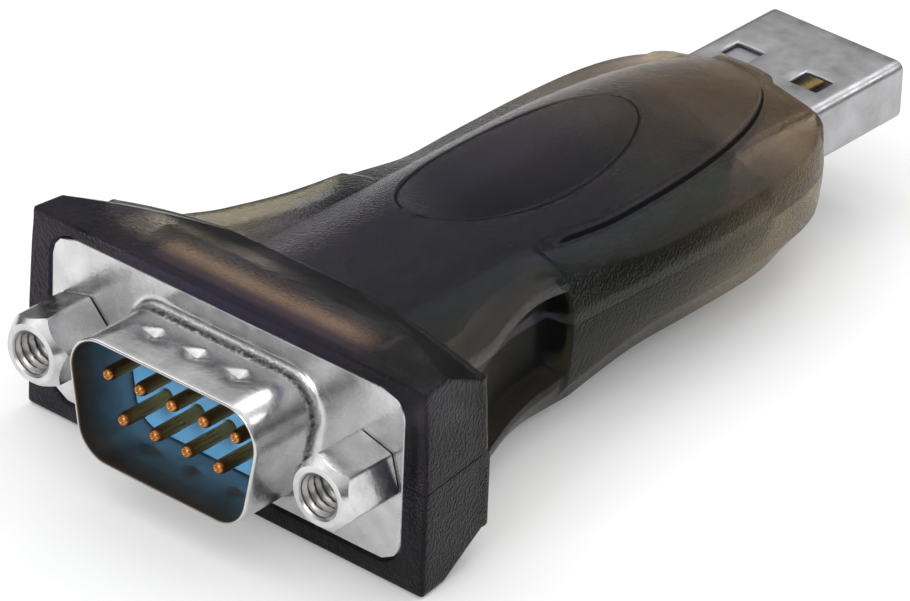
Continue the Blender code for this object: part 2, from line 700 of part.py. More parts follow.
def jack_hole_cutter(name, origin):
    bm = bmesh.new()
    for side in (-1, 1):
        hole = circle(STUD_RADIUS + SEAT, side * JACK_SPACING / 2)
        loft([ring_at(hole, y) for y in (-CUT_PAST, REAR_PLATE_BACK + CUT_PAST)], bm=bm)
    return as_helper(make_object(name, bm, None, origin))


def serial_rear_shell(finish, origin):
    """Rear shell: a second flange plate drawn into a box that holds the moulded insert."""
    plate = rectangle(FLANGE_WIDTH / 2, FLANGE_HEIGHT / 2, FLANGE_CORNER)
    outer = rectangle(REAR_BOX_WIDTH / 2, REAR_BOX_HEIGHT / 2, REAR_BOX_CORNER)
    inner = rectangle(REAR_BOX_WIDTH / 2 - SHEET, REAR_BOX_HEIGHT / 2 - SHEET, REAR_BOX_CORNER - SHEET)
    rings = [
        ring_at(plate, REAR_PLATE_FRONT),
        ring_at(plate, REAR_PLATE_BACK),
        ring_at(outer, REAR_PLATE_BACK),
        ring_at(outer, REAR_BOX_BACK),
        ring_at(inner, REAR_BOX_BACK),
        ring_at(inner, REAR_PLATE_FRONT),
    ]
    shell = make_object("serial_rear_shell", loft(rings, close_path=True), finish, origin)
    combine(shell, jack_hole_cutter("rear_shell_hole_cutter", origin), "DIFFERENCE")
    smooth_rounds(shell)
    return shell


def pin_places():
    """The pins' (x, z): five above, then four below, from the left as they are faced."""
    places = []
    for row, count in ((1, LONG_ROW_COUNT), (-1, SHORT_ROW_COUNT)):
        for k in range(count):
            places.append(((k - (count - 1) / 2) * PIN_PITCH, row * ROW_SPACING / 2))
    return places


def serial_insert(finish, origin):
    """Moulded insert that carries the pins: a D nose in the mouth and a block in the rear shell."""
    nose = mouth_outline(-SHEET - SEAT)
    half_width = REAR_BOX_WIDTH / 2 - SHEET - SEAT
    half_height = REAR_BOX_HEIGHT / 2 - SHEET - SEAT
    block = rectangle(half_width, half_height, INSERT_CORNER)
    rings = [
        ring_at(nose, INSERT_FACE),
        ring_at(nose, REAR_PLATE_FRONT),
        ring_at(block, REAR_PLATE_FRONT),
        ring_at(block, REAR_BOX_BACK),
    ]
    insert = make_object("serial_insert", loft(rings), finish, origin)
    bm = bmesh.new()
    for x, z in pin_places():
        hole = circle(PIN_RADIUS + SEAT, x, z, 12)
        loft([ring_at(hole, y) for y in (INSERT_FACE - CUT_PAST, REAR_BOX_BACK + CUT_PAST)], bm=bm)
    combine(insert, as_helper(make_object("pin_hole_cutter", bm, None, origin)), "DIFFERENCE")
    smooth_rounds(insert)
    return insert


def pins(finish, origin):
    """Turned pins: rounded tip, shank through the insert and a thinner tail along the board."""
    tail_end = BOARD_FRONT + PIN_TAIL
    profile = [
        (PIN_TIP_RADIUS, -PIN_REACH),
        ((PIN_TIP_RADIUS + PIN_RADIUS * 2) / 3, -PIN_REACH + PIN_TIP_BEVEL / 3),
        (PIN_RADIUS, -PIN_REACH + PIN_TIP_BEVEL),
        (PIN_RADIUS, REAR_BOX_BACK),
        (PIN_TAIL_RADIUS, REAR_BOX_BACK),
        (PIN_TAIL_RADIUS, tail_end),
    ]
    for number, (x, z) in enumerate(pin_places(), 1):
        rings = [ring_at(circle(radius, x, z, 12), y) for radius, y in profile]
        smooth_rounds(make_object(f"serial_pin_{number}", loft(rings), finish, origin))


def hexagon(flats, turn, centre_x):
    """A hexagon sampled at the same angles as a circle, with its own corners among them."""
    points = []
    for i in range(ROUND_STEPS):
        a = 2 * math.pi * i / ROUND_STEPS
        radius = flats / 2 / math.cos((a + math.pi / 6) % (math.pi / 3) - math.pi / 6)
        points.append((centre_x + radius * math.cos(a + turn), radius * math.sin(a + turn)))
    return points


def turned_circle(radius, turn, centre_x):
    steps = (2 * math.pi * i / ROUND_STEPS + turn for i in range(ROUND_STEPS))
    return [(centre_x + radius * math.cos(a), radius * math.sin(a)) for a in steps]


def jackscrew(name, centre_x, finish, origin):
    """Hex standoff with a bevelled front and a threaded bore, and the stud that goes through the flange."""
    back = -SEAT
    front = back - JACK_LENGTH
    outline = hexagon(JACK_FLATS, JACK_TURN, centre_x)
    bevel = []
    for x, z in outline:
        radius = math.hypot(x - centre_x, z)
        bevel.append((x, front + max(radius - JACK_CHAMFER_RADIUS, 0.0) * math.tan(JACK_BEVEL), z))
    rings = [
        ring_at(turned_circle(JACK_BORE_RADIUS, JACK_TURN, centre_x), front + JACK_BORE_DEPTH),
        ring_at(turned_circle(JACK_BORE_RADIUS, JACK_TURN, centre_x), front + JACK_MOUTH_DEPTH),
        ring_at(turned_circle(JACK_MOUTH_RADIUS, JACK_TURN, centre_x), front),
        ring_at(turned_circle(JACK_CHAMFER_RADIUS, JACK_TURN, centre_x), front),
        bevel,
        ring_at(outline, back),
        ring_at(turned_circle(STUD_RADIUS, JACK_TURN, centre_x), back),
        ring_at(turned_circle(STUD_RADIUS, JACK_TURN, centre_x), STUD_LENGTH),
    ]
    smooth_rounds(make_object(name, loft(rings), finish, origin))


def jack_nut(name, centre_x, finish, origin):
    front = REAR_PLATE_BACK + SEAT
    outer = hexagon(NUT_FLATS, JACK_TURN, centre_x)
    bore = turned_circle(STUD_RADIUS + SEAT, JACK_TURN, centre_x)
    rings = [ring_at(bore, front), ring_at(outer, front), ring_at(outer, front + NUT_THICKNESS),
             ring_at(bore, front + NUT_THICKNESS)]
    smooth_rounds(make_object(name, loft(rings, close_path=True), finish, origin))


def circuit_board(finish, origin):
    low = (-BOARD_HALF_WIDTH, BOARD_FRONT, -HALF_BOARD)
    high = (BOARD_HALF_WIDTH, BOARD_REAR, HALF_BOARD)
    return box_object("circuit_board", [(low, high)], finish, origin)


def rectangle_at(half_x, half_y, y, z):
    """Corners of a level rectangle about a place on the board's middle line."""
    return [(sx * half_x, y + sy * half_y, z) for sx, sy in ((1, 1), (-1, 1), (-1, -1), (1, -1))]


def chip(name, size, y, leads, side, finish, origin):
    """A gull-wing chip: drafted body with its two rows of leads, on the board's upper or lower face."""
    across, along, thick = size
    foot = HALF_BOARD + SOLDER
    base = foot + CHIP_STANDOFF
    body = loft([
        rectangle_at(across / 2, along / 2, y, side * base),
        rectangle_at(across / 2 - CHIP_DRAFT, along / 2 - CHIP_DRAFT, y, side * (base + thick)),
    ])
    made = make_object(name, body, finish, origin)
    boxes = []
    for k in range(leads):
        lead_y = y + (k - (leads - 1) / 2) * CHIP_LEAD_PITCH
        for hand in (-1, 1):
            xs = sorted((hand * (across / 2 - CHIP_LEAD_ROOT), hand * (across / 2 + CHIP_LEAD_REACH)))
            zs = sorted((side * foot, side * (foot + CHIP_LEAD_THICKNESS)))
            low = (xs[0], lead_y - CHIP_LEAD_WIDTH / 2, zs[0])
            high = (xs[1], lead_y + CHIP_LEAD_WIDTH / 2, zs[1])
            boxes.append((low, high))
    combine(made, as_helper(box_object(f"{name}_leads", boxes, None, origin)), "UNION")
    return made


def oblong(inset, z):
    """The crystal's outline seen from above: straight sides between two half circles."""
    straight = (CRYSTAL_LENGTH - CRYSTAL_WIDTH) / 2
    radius = CRYSTAL_WIDTH / 2 - inset
    points = []
    for i in range(ROUND_STEPS):
        a = 2 * math.pi * (i + 0.5) / ROUND_STEPS
        shift = straight if math.sin(a) > 0 else -straight
        points.append((radius * math.cos(a), CRYSTAL_Y + shift + radius * math.sin(a), z))
    return points


def crystal(finish, origin):
    """Low can of the quartz crystal, lying along the underside of the board, with its welded rim."""
    top = -(HALF_BOARD + SOLDER)
    low = top - CRYSTAL_HEIGHT
    rings = [
        oblong(-CRYSTAL_RIM, top),
        oblong(-CRYSTAL_RIM, top - CRYSTAL_RIM),
        oblong(0.0, top - CRYSTAL_RIM),
        oblong(0.0, low + CRYSTAL_ROUND),
        oblong(CRYSTAL_ROUND, low),
    ]
    smooth_rounds(make_object("crystal", loft(rings), finish, origin))


def block_part(name, size, x, y, side, finish, origin):
    """A chip capacitor, resistor or choke: a block with end caps that stand a little proud."""
    across, along, thick = size
    foot = HALF_BOARD + SOLDER
    half_long = along / 2
    cap = half_long - TERMINAL_LENGTH
    waist = -CAP_PROUD
    ends = ((-half_long, 0.0), (-cap, 0.0), (-cap, waist), (cap, waist), (cap, 0.0), (half_long, 0.0))
    rings = []
    for place, grow in ends:
        half = across / 2 + grow
        low = foot - grow
        high = foot + thick + grow
        corners = ((1, low), (1, high), (-1, high), (-1, low))
        rings.append([(x + sx * half, y + place, side * z) for sx, z in corners])
    return make_object(name, loft(rings), finish, origin)


def plug_section(inset):
    return rectangle(PLUG_WIDTH / 2 - inset, PLUG_HEIGHT / 2 - inset, PLUG_CORNER - inset)


def usb_shell(finish, origin):
    """The plug's folded sheet tube with two windows in its top and two in its bottom."""
    rings = [
        ring_at(plug_section(0.0), PLUG_REAR),
        ring_at(plug_section(0.0), PLUG_TIP - PLUG_SHEET / 2),
        ring_at(plug_section(PLUG_SHEET / 2), PLUG_TIP),
        ring_at(plug_section(PLUG_SHEET), PLUG_TIP),
        ring_at(plug_section(PLUG_SHEET), PLUG_REAR),
    ]
    shell = make_object("usb_shell", loft(rings, close_path=True), finish, origin)
    front = PLUG_TIP - WINDOW_FRONT
    boxes = []
    for hand in (-1, 1):
        xs = sorted((hand * WINDOW_INNER_X, hand * (WINDOW_INNER_X + WINDOW_WIDTH)))
        boxes.append(((xs[0], front - WINDOW_LENGTH, -PLUG_HEIGHT), (xs[1], front, PLUG_HEIGHT)))
    combine(shell, as_helper(box_object("window_cutter", boxes, None, origin)), "DIFFERENCE")
    smooth_rounds(shell)
    return shell


def usb_insert(finish, origin):
    """Moulded tongue in the lower half of the plug, with a slotted full block behind it."""
    half = PLUG_WIDTH / 2 - PLUG_SHEET - SEAT
    low = -(PLUG_HEIGHT / 2 - PLUG_SHEET - SEAT)
    rear = PLUG_REAR + PLUG_BLOCK_BACK
    block_end = rear + PLUG_BLOCK_LENGTH
    tip = PLUG_TIP - TONGUE_TIP_BACK
    outline = (
        (rear, low),
        (tip, low),
        (tip, TONGUE_TOP),
        (block_end, TONGUE_TOP),
        (block_end, -low),
        (rear, -low),
    )
    rings = [[(x, y, z) for y, z in outline] for x in (-half, half)]
    insert = make_object("usb_insert", loft(rings), finish, origin)
    boxes = []
    for x in CONTACT_X:
        reach = CONTACT_WIDTH / 2 + SEAT / 2
        slot_low = (x - reach, rear - CUT_PAST, TONGUE_TOP)
        slot_high = (x + reach, block_end + CUT_PAST, contact_top() + SEAT)
        boxes.append((slot_low, slot_high))
    combine(insert, as_helper(box_object("contact_slot_cutter", boxes, None, origin)), "DIFFERENCE")
    return insert


def contact_top():
    return TONGUE_TOP + SEAT + CONTACT_THICKNESS


def usb_contacts(finish, origin):
    """Flat contacts on the tongue, cranked up at the rear onto the board."""
    low = TONGUE_TOP + SEAT
    tail = HALF_BOARD + SOLDER
    start = PLUG_REAR + CONTACT_RAMP_END
    tip = PLUG_TIP - CONTACT_TIP_BACK
    centre = [(BOARD_REAR - CONTACT_TAIL, tail), (start - CONTACT_RAMP, tail), (start, low), (tip, low)]
    outline = centre + [(y, z + CONTACT_THICKNESS) for y, z in reversed(centre)]
    for number, x in enumerate(CONTACT_X, 1):
        rings = [[(x + side * CONTACT_WIDTH / 2, y, z) for y, z in outline] for side in (-1, 1)]
        make_object(f"usb_contact_{number}", loft(rings), finish, origin)


def main():
    clear_scene()
    origin = bpy.data.objects.new("adapter_origin", None)
    bpy.context.scene.collection.objects.link(origin)
    origin.location = (0.0, -LENGTH_MIDDLE * MM, COLLAR_BOTTOM * MM)

    smoked = material("smoked plastic", (0.035, 0.033, 0.045), 0.42)
    nickel = material("nickel plated steel", (0.72, 0.71, 0.69), 0.28, 1.0)
    yellow_zinc = material("yellow passivated steel", (0.62, 0.5, 0.27), 0.4, 1.0)
    blue = material("blue moulding", (0.02, 0.28, 0.62), 0.45)
    gold = material("gold plated brass", (0.75, 0.5, 0.16), 0.3, 1.0)
    steel = material("plug steel", (0.6, 0.6, 0.61), 0.35, 1.0)
    grey = material("grey moulding", (0.35, 0.36, 0.38), 0.5)
    green = material("board laminate", (0.03, 0.2, 0.08), 0.5)
    black = material("chip resin", (0.02, 0.02, 0.022), 0.5)
    can = material("crystal can", (0.75, 0.74, 0.7), 0.3, 1.0)
    ceramic = material("capacitor ceramic", (0.4, 0.27, 0.15), 0.5)
    resistive = material("resistor glaze", (0.03, 0.03, 0.035), 0.4)
    ferrite = material("choke ferrite", (0.09, 0.09, 0.09), 0.7)

    cutters = housing_cutters(origin)
    housing_half("upper_housing", 1, smoked, origin, cutters + [dish_cutter(origin)])
    housing_half("lower_housing", -1, smoked, origin, cutters)

    serial_shell(nickel, origin)
    serial_rear_shell(yellow_zinc, origin)
    serial_insert(blue, origin)
    pins(gold, origin)
    for name, side in (("left", -1), ("right", 1)):
        jackscrew(f"jackscrew_{name}", side * JACK_SPACING / 2, nickel, origin)
        jack_nut(f"jackscrew_nut_{name}", side * JACK_SPACING / 2, yellow_zinc, origin)

    circuit_board(green, origin)
    chip("usb_bridge_chip", BRIDGE_CHIP, BRIDGE_CHIP_Y, BRIDGE_CHIP_LEAD_COUNT, 1, black, origin)
    chip("line_driver_chip", DRIVER_CHIP, DRIVER_CHIP_Y, DRIVER_CHIP_LEAD_COUNT, 1, black, origin)
    crystal(can, origin)
    block_part("choke", CHOKE, 0.0, CHOKE_Y, -1, ferrite, origin)
    number = 0
    for back in CAPACITOR_BACK:
        for hand in (-1, 1):
            number += 1
            place = (hand * CAPACITOR_X, BOARD_FRONT + back)
            block_part(f"capacitor_{number}", CAPACITOR, *place, -1, ceramic, origin)
    number = 0
    for step in (-RESISTOR_Y_STEP, RESISTOR_Y_STEP):
        for hand in (-1, 1):
            number += 1
            place = (hand * RESISTOR_X, BRIDGE_CHIP_Y + step)
            block_part(f"resistor_{number}", RESISTOR, *place, 1, resistive, origin)

    usb_shell(steel, origin)
    usb_insert(grey, origin)
    usb_contacts(gold, origin)


main()
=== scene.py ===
"""Finish of a short serial adapter: smoked housing, plated connectors, pins, board and studio.

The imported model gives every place. Shapes are worked out in millimetres in the connector's own
frame: X to the right, Y from the front of the serial flange towards the plug, Z up from the
middle plane of the board. Each piece is a grid of points, computed as whole arrays."""

import math

import bmesh
import bpy
import numpy as np
from bpy.props import FloatProperty, FloatVectorProperty, PointerProperty
from mathutils import Matrix, Vector


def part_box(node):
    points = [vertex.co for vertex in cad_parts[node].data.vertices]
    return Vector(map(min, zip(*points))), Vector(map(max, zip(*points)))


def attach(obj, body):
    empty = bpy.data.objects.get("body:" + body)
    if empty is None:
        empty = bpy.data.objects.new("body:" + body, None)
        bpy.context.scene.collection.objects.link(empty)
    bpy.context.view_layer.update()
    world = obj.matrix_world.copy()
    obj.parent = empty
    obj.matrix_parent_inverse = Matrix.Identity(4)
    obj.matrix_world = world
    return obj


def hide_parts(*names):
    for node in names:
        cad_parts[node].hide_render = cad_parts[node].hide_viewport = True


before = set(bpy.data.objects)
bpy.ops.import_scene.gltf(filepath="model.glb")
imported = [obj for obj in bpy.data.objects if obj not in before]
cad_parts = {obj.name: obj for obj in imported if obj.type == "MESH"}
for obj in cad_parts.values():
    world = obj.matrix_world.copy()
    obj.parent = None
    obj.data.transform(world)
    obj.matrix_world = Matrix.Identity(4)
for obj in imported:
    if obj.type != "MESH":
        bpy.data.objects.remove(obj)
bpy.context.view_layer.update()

bl_info = {
    "name": "Serial adapter finish",
    "version": (1, 0, 0),
    "blender": (4, 5, 0),
    "location": "View3D > Sidebar > Adapter",
    "description": "Builds the finished pieces of a serial adapter round its packed model",
    "category": "Object",
}

MM = 0.001

# Sheet, seams and gaps of the finished pieces
SHEET = 0.4
SEAM = 0.035  # half the parting line
FIT = 0.06  # round what sits in a hole

# Middle of the connectors in the frame
_shell_low, _shell_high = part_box("serial_shell")
_board_low, _board_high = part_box("circuit_board")
_plug_low, _plug_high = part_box("usb_shell")
_housing_low, _housing_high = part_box("upper_housing")
_jack_low, _jack_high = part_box("jackscrew_right")
ORIGIN = np.array([0.0, _shell_high.y - SHEET * MM, (_board_low.z + _board_high.z) / 2])

# Serial connector
FLANGE_HALF_WIDTH = (_shell_high.x - _shell_low.x) / 2 / MM
FLANGE_HALF_HEIGHT = (_shell_high.z - _shell_low.z) / 2 / MM
FLANGE_CORNER = 1.8
MOUTH_DEPTH = (_shell_high.y - _shell_low.y) / MM - SHEET
MOUTH_WIDTH = 17.2
MOUTH_TOP = 4.3
MOUTH_BOTTOM = 4.8
MOUTH_SLANT = math.radians(10.0)
MOUTH_CORNER = 2.6
ROOT_FILLET = 0.8
DENT_PITCH = 3.65
DENT_BACK = 3.2
DENT_WIDTH = 2.3
DENT_LENGTH = 1.9
DENT_DEPTH = 0.34
DENT_POWER = 1.2  # of the diamond: one gives straight sides, two an ellipse
DENT_REACH = 0.85  # share of the diamond over which the depth falls evenly
DENT_SOFTNESS = 0.14
DENT_BOWL = 0.05  # depth of the shallow bowl round each dent
REAR_BOX_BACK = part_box("serial_rear_shell")[1].y / MM - ORIGIN[1] / MM
PIN_PITCH = 2.77
ROW_SPACING = 2.84
LONG_ROW_COUNT = 5
SHORT_ROW_COUNT = 4
PIN_RADIUS = 0.5
PIN_REACH = 5.16
JACK_X = (_jack_low.x + _jack_high.x) / 2 / MM
JACK_TURNS = {-1: math.radians(15.0), 1: math.radians(-15.0)}  # as each was driven home
STUD_RADIUS = 1.42
STUD_END = 4.2

MOUTH_EDGE_AT = -MOUTH_DEPTH * MM + ORIGIN[1]

# Collar of the housing
COLLAR_PROUD = 0.15
COLLAR_DEPTH = 7.0
LOWER_COLLAR_LAG = 0.3
COLLAR_HALF_WIDTH = (_housing_high.x - _housing_low.x) / 2 / MM
COLLAR_TAPER = 0.9
COLLAR_TOP = (_housing_high.z - ORIGIN[2]) / MM
COLLAR_BOTTOM = ORIGIN[2] / MM
COLLAR_DRAFT = 0.35
COLLAR_ARC_RADIUS = 29.0
COLLAR_SLOPE = 0.48
CHAMBER_FRONT = 1.4
CHAMBER_BACK = 5.6
CHAMBER_OUTLINE = ((15.7, 0.035), (15.7, 3.2), (10.15, 3.2), (10.15, 5.9), (0.0, 5.9))
SEAT_EDGE = 0.12  # rounded edge of the flange's seat
FRONT_ROUND = 0.3
BACK_ROUND = 0.5
HOLLOW_RINGS = 22

COLLAR_BACK_AT = COLLAR_DEPTH * MM + ORIGIN[1]

# Body of the housing
FLARE_HALF_WIDTH = 13.3
WAIST_HALF_WIDTH = 10.1
WAIST_Y = 20.5
POCKET_END = 22.2
POCKET_END_AT = POCKET_END * MM + ORIGIN[1]
BELLY_HALF_WIDTH = 10.5
BELLY_Y = 36.0
BODY_END = (_housing_high.y - ORIGIN[1]) / MM
TAIL_FLAT = 0.25
TAIL_POWER = 3.5
SIDE_BULGE = 0.4
RIM_FLARE_Z = 4.8
RIM_FRONT_Z = 4.05
RIM_REAR_Z = 2.05
RIM_TAIL_Z = 2.3
RIM_FLARE_END = 13.0
RIM_FALL_START = 18.0
RIM_FALL_END = 33.0
TAIL_RISE_START = 42.0
RIM_THICKNESS = 1.1
RIM_BEVEL = 0.45
RIM_CREST = 0.2
SHOULDER_CREST_FRONT = 1.0
SHOULDER_CREST_REAR = 0.6
SHOULDER_START = 27.0
PAD_HALF_WIDTH = 6.95
PAD_FRONT_HALF_WIDTH = 6.5
PAD_FRONT_Y = POCKET_END + 1.2
PAD_WIDEST_Y = 31.0
PAD_TIP_Y = BODY_END - 1.45
PAD_POWER = 2.4
PAD_EDGE_Z = 4.1
PAD_STEP = 0.6
PAD_STEP_RUN = 0.3
CROWN_RADIUS = 11.0
END_ROUND = 1.9
END_SHARE = 0.74
KEEL_DROP = 1.1
LOWER_CREST = 0.35
UNDER_EDGE_INSET = 1.2
UNDER_EDGE_TAIL_INSET = 2.4
UNDER_EDGE_DROP = 2.3
UNDERSIDE_Z = 6.9
UNDERSIDE_CROWN = 0.15
UNDERSIDE_TAIL_Z = 4.6
POCKET_DEPTH = 1.7
POCKET_STEP = 0.3
DISH_Y = 28.8
DISH_HALF_LENGTH = 11.2
DISH_HALF_WIDTH = 4.75
DISH_DEPTH = 1.25
DISH_BALL_HEIGHT = 3.0
DISH_GROOVE = 0.12
PAD_GROOVE = 0.15
WALL = 1.4
ROOF = 4.0
FLOOR = 4.6

# Plug
PLUG_HALF_WIDTH = (_plug_high.x - _plug_low.x) / 2 / MM
PLUG_HALF_HEIGHT = (_plug_high.z - _plug_low.z) / 2 / MM
PLUG_REAR = (_plug_low.y - ORIGIN[1]) / MM
PLUG_TIP = (_plug_high.y - ORIGIN[1]) / MM
PLUG_SHEET = 0.3
PLUG_CORNER = 0.7
WINDOW_FRONT = 5.8  # behind the tip
WINDOW_LENGTH = 2.0


def place(points):
    """Connector millimetres turned into metres in the frame: scaled, then moved by the origin."""
    return np.asarray(points, float) * MM + ORIGIN


def grid_faces(rows, columns, wrap_rows=False, wrap_columns=False):
    """Corner numbers of the quads between neighbouring rows and columns of a grid of points."""
    r = np.arange(rows if wrap_rows else rows - 1)[:, None]
    c = np.arange(columns if wrap_columns else columns - 1)[None, :]
    r2 = (r + 1) % rows
    c2 = (c + 1) % columns
    quads = [r * columns + c, r * columns + c2, r2 * columns + c2, r2 * columns + c]
    return np.stack(np.broadcast_arrays(*quads), -1).reshape(-1, 4)


def add_object(name, data):
    """A new object in the scene that holds some data."""
    made = bpy.data.objects.new(name, data)
    bpy.context.scene.collection.objects.link(made)
    return made


def new_mesh(name, points, faces):
    """A mesh object from points in connector millimetres and a list of faces, turned out."""
    mesh = bpy.data.meshes.new(name)
    mesh.from_pydata(place(points).tolist(), [], [list(map(int, face)) for face in faces])
    mesh.validate()
    made = add_object(name, mesh)
    face_out(made)
    return made


def face_out(made):
    """Merges doubled points and turns the faces of a closed mesh outwards."""
    bm = bmesh.new()
    bm.from_mesh(made.data)
    bmesh.ops.remove_doubles(bm, verts=bm.verts, dist=1e-8)
    bmesh.ops.dissolve_degenerate(bm, edges=bm.edges, dist=1e-9)
    bmesh.ops.recalc_face_normals(bm, faces=bm.faces)
    bm.to_mesh(made.data)
    bm.free()


def ring_mesh(name, rings, wrap_rows=False):
    """A mesh of closed rings with as many points each, every one joined to the next."""
    points = np.stack(rings)
    faces = grid_faces(points.shape[0], points.shape[1], wrap_rows, True)
    return new_mesh(name, points.reshape(-1, 3), faces)


def points_of(made):
    """The points of a piece, turned back from metres in the frame into connector millimetres."""
    points = np.empty(len(made.data.vertices) * 3)
    made.data.vertices.foreach_get("co", points)
    return (points.reshape(-1, 3) - ORIGIN) / MM


def write_values(made, name, values):
    """Writes a value for each point into an attribute, which the piece's material reads."""
    made.data.attributes.new(name, "FLOAT", "POINT").data.foreach_set("value", values)


def mark_inside(made, centre_x, radius, strength=1.0):
    """Writes how much each point faces inwards, towards an axis along Y, into an attribute, which the metal
    paints darker as shade.
    """
    normals = np.empty(len(made.data.vertices) * 3)
    made.data.vertex_normals.foreach_get("vector", normals)
    away = points_of(made) - np.array([centre_x, 0.0, 0.0])
    away[:, 1] = 0.0
    reach = np.linalg.norm(away, axis=1)
    facing = (away * normals.reshape(-1, 3)).sum(axis=1) / np.maximum(reach, 1e-6)
    write_values(made, "inside", np.clip(-facing * 2, 0, 1) * (reach < radius) * strength)


def mark_fold(made):
    """Writes where the serial shell was folded from flange to mouth into an attribute, which the material
    uses for the wrinkles and for painted shade along the fold.
    """
    places = (-ROOT_FILLET - 0.15, -ROOT_FILLET * 0.8, -0.42, -0.2)
    write_values(made, "fold", np.interp(points_of(made)[:, 1], places, (0.0, 1.0, 0.9, 0.0)))


def smooth(made, degrees):
    """Shades a piece smooth, but for the edges that are sharper than an angle."""
    made.data.shade_smooth()
    made.data.set_sharp_from_angle(angle=math.radians(degrees))


def finish_piece(made, material, slot, *nodes):
    """Gives a piece its material, lets it ride, and lets it stand for its solids."""
    made.data.materials.clear()
    made.data.materials.append(material)
    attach(made, "root")
    if nodes:
        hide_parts(*nodes)


def ease(start, end, y, y_start, y_end):
    """A half cosine from one value to another, level outside the two places."""
    t = np.clip((y - y_start) / (y_end - y_start), 0.0, 1.0)
    return start + (end - start) * (1 - np.cos(np.pi * t)) / 2


def softened(corners, radii, runs, arc):
    """Rows of control polygons made into rows of points: each straight is cut into its number of
    runs, and each inner corner is a quadratic curve that leaves and meets its straights at the
    corner's radius, or at 0.45 of a straight that is shorter."""
    count = corners.shape[1]
    spans = corners[:, 1:] - corners[:, :-1]
    lengths = np.linalg.norm(spans, axis=2) + 1e-9
    units = spans / lengths[..., None]
    t = np.linspace(0, 1, arc + 1)[None, :, None]
    pieces = []
    leave = corners[:, 0]
    for i in range(1, count):
        last = i == count - 1
        if last:
            meet = corners[:, i]
        else:
            cut = np.minimum(radii[i], 0.45 * np.minimum(lengths[:, i - 1], lengths[:, i]))[:, None]
            meet = corners[:, i] - units[:, i - 1] * cut
        share = (np.arange(runs[i - 1]) / runs[i - 1])[None, :, None]
        pieces.append(leave[:, None] * (1 - share) + meet[:, None] * share)
        if not last:
            leave = corners[:, i] + units[:, i] * cut
            curve = meet[:, None] * (1 - t) ** 2 + corners[:, i][:, None] * 2 * t * (1 - t)
            curve += leave[:, None] * t**2
            pieces.append(curve[:, :-1])
    pieces.append(corners[:, -1][:, None])
    return np.concatenate(pieces, axis=1)


def arc_drop(x):
    """How far a circular crown has fallen at a distance from its middle."""
    return CROWN_RADIUS - np.sqrt(np.maximum(CROWN_RADIUS**2 - x * x, 0.0))


def tail_share(y):
    """Share of its width that the plan keeps: all to the belly, then a superellipse to the end."""
    t = np.clip((y - BELLY_Y) / (BODY_END + TAIL_FLAT - BELLY_Y), 0.0, 0.99999)
    return (1 - t**TAIL_POWER) ** (1 / TAIL_POWER)


def tail_y(x):
    """Where the rounded plan of the tail is as wide as a distance from the middle."""
    wide = np.clip(np.abs(x) / (BELLY_HALF_WIDTH + SIDE_BULGE), 0.0, 1.0)
    y = BELLY_Y + (BODY_END + TAIL_FLAT - BELLY_Y) * (1 - wide**TAIL_POWER) ** (1 / TAIL_POWER)
    return np.minimum(y, BODY_END)


def rim_x(y):
    """Half width at the rims: eased in from the flare to the waist, and out again to the belly."""
    front = ease(FLARE_HALF_WIDTH, WAIST_HALF_WIDTH, y, COLLAR_DEPTH, WAIST_Y)
    rear = ease(WAIST_HALF_WIDTH, BELLY_HALF_WIDTH, y, WAIST_Y, BELLY_Y) * tail_share(y)
    return np.where(y < WAIST_Y, front, rear)


def behind_pocket(y):
    """Nought beside the pockets, one behind them, over a short step."""
    return ease(0.0, 1.0, y, POCKET_END, POCKET_END + POCKET_STEP)


def rim_z(y):
    """Height of the rims: eased down behind the collar and before the belly, and up at the tail."""
    front = ease(RIM_FLARE_Z, RIM_FRONT_Z, y, COLLAR_DEPTH, RIM_FLARE_END)
    middle = ease(RIM_FRONT_Z, RIM_REAR_Z, y, RIM_FALL_START, RIM_FALL_END)
    rear = ease(RIM_REAR_Z, RIM_TAIL_Z, y, TAIL_RISE_START, BODY_END)
    return np.where(y < RIM_FLARE_END, front, np.where(y < TAIL_RISE_START, middle, rear))


def pad_x(y):
    """Half width of the pad: eased out to its widest place, then a superellipse to its tip."""
    front = ease(PAD_FRONT_HALF_WIDTH, PAD_HALF_WIDTH, y, PAD_FRONT_Y, PAD_WIDEST_Y)
    t = np.clip((y - PAD_WIDEST_Y) / (PAD_TIP_Y - PAD_WIDEST_Y), 0.0, 0.9995)
    return np.where(y < PAD_WIDEST_Y, front, PAD_HALF_WIDTH * (1 - t**PAD_POWER) ** (1 / PAD_POWER))


def crown_z(x, y):
    """Height of the crown: a circular arc across, set so that it meets the pad's edge."""
    reach = np.where(y < PAD_WIDEST_Y, PAD_HALF_WIDTH, pad_x(y))
    return PAD_EDGE_Z + arc_drop(reach) - arc_drop(x)


def pad_step(y):
    """Depth of the step round the pad, from where it starts behind the pockets to the tip."""
    return ease(0.0, PAD_STEP, y, POCKET_END, PAD_FRONT_Y) - ease(0.0, 0.25, y, PAD_TIP_Y - 6.0, PAD_TIP_Y)


def pad_lift(y):
    """Share of the step that the crown stands on: all of it up to the tip, none behind it."""
    return 1 - ease(0.0, 1.0, y, PAD_TIP_Y, PAD_TIP_Y + PAD_STEP_RUN)


def flank(y, crest, high):
    """Corners of one flank in each section: a recess under a rim beside the pocket, and behind it
    a wall that leans in more and more from the seam to its crest."""
    rim = rim_x(y)
    inner = rim - POCKET_DEPTH
    lip = high - RIM_THICKNESS
    zeros = np.zeros_like(y)
    beside = [(inner, zeros + SEAM), (inner, lip - 0.05), (rim, lip + 0.05), (rim, high - RIM_BEVEL),
              (rim - RIM_CREST, high)]
    wall = rim + SIDE_BULGE
    shares = (0.0, 0.3, 0.6, 0.85, 1.0)
    behind = [(wall - (wall - crest) * s * s, SEAM + (high - SEAM) * s) for s in shares]
    mix = behind_pocket(y)
    return [(a[0] + (b[0] - a[0]) * mix, a[1] + (b[1] - a[1]) * mix) for a, b in zip(beside, behind)]


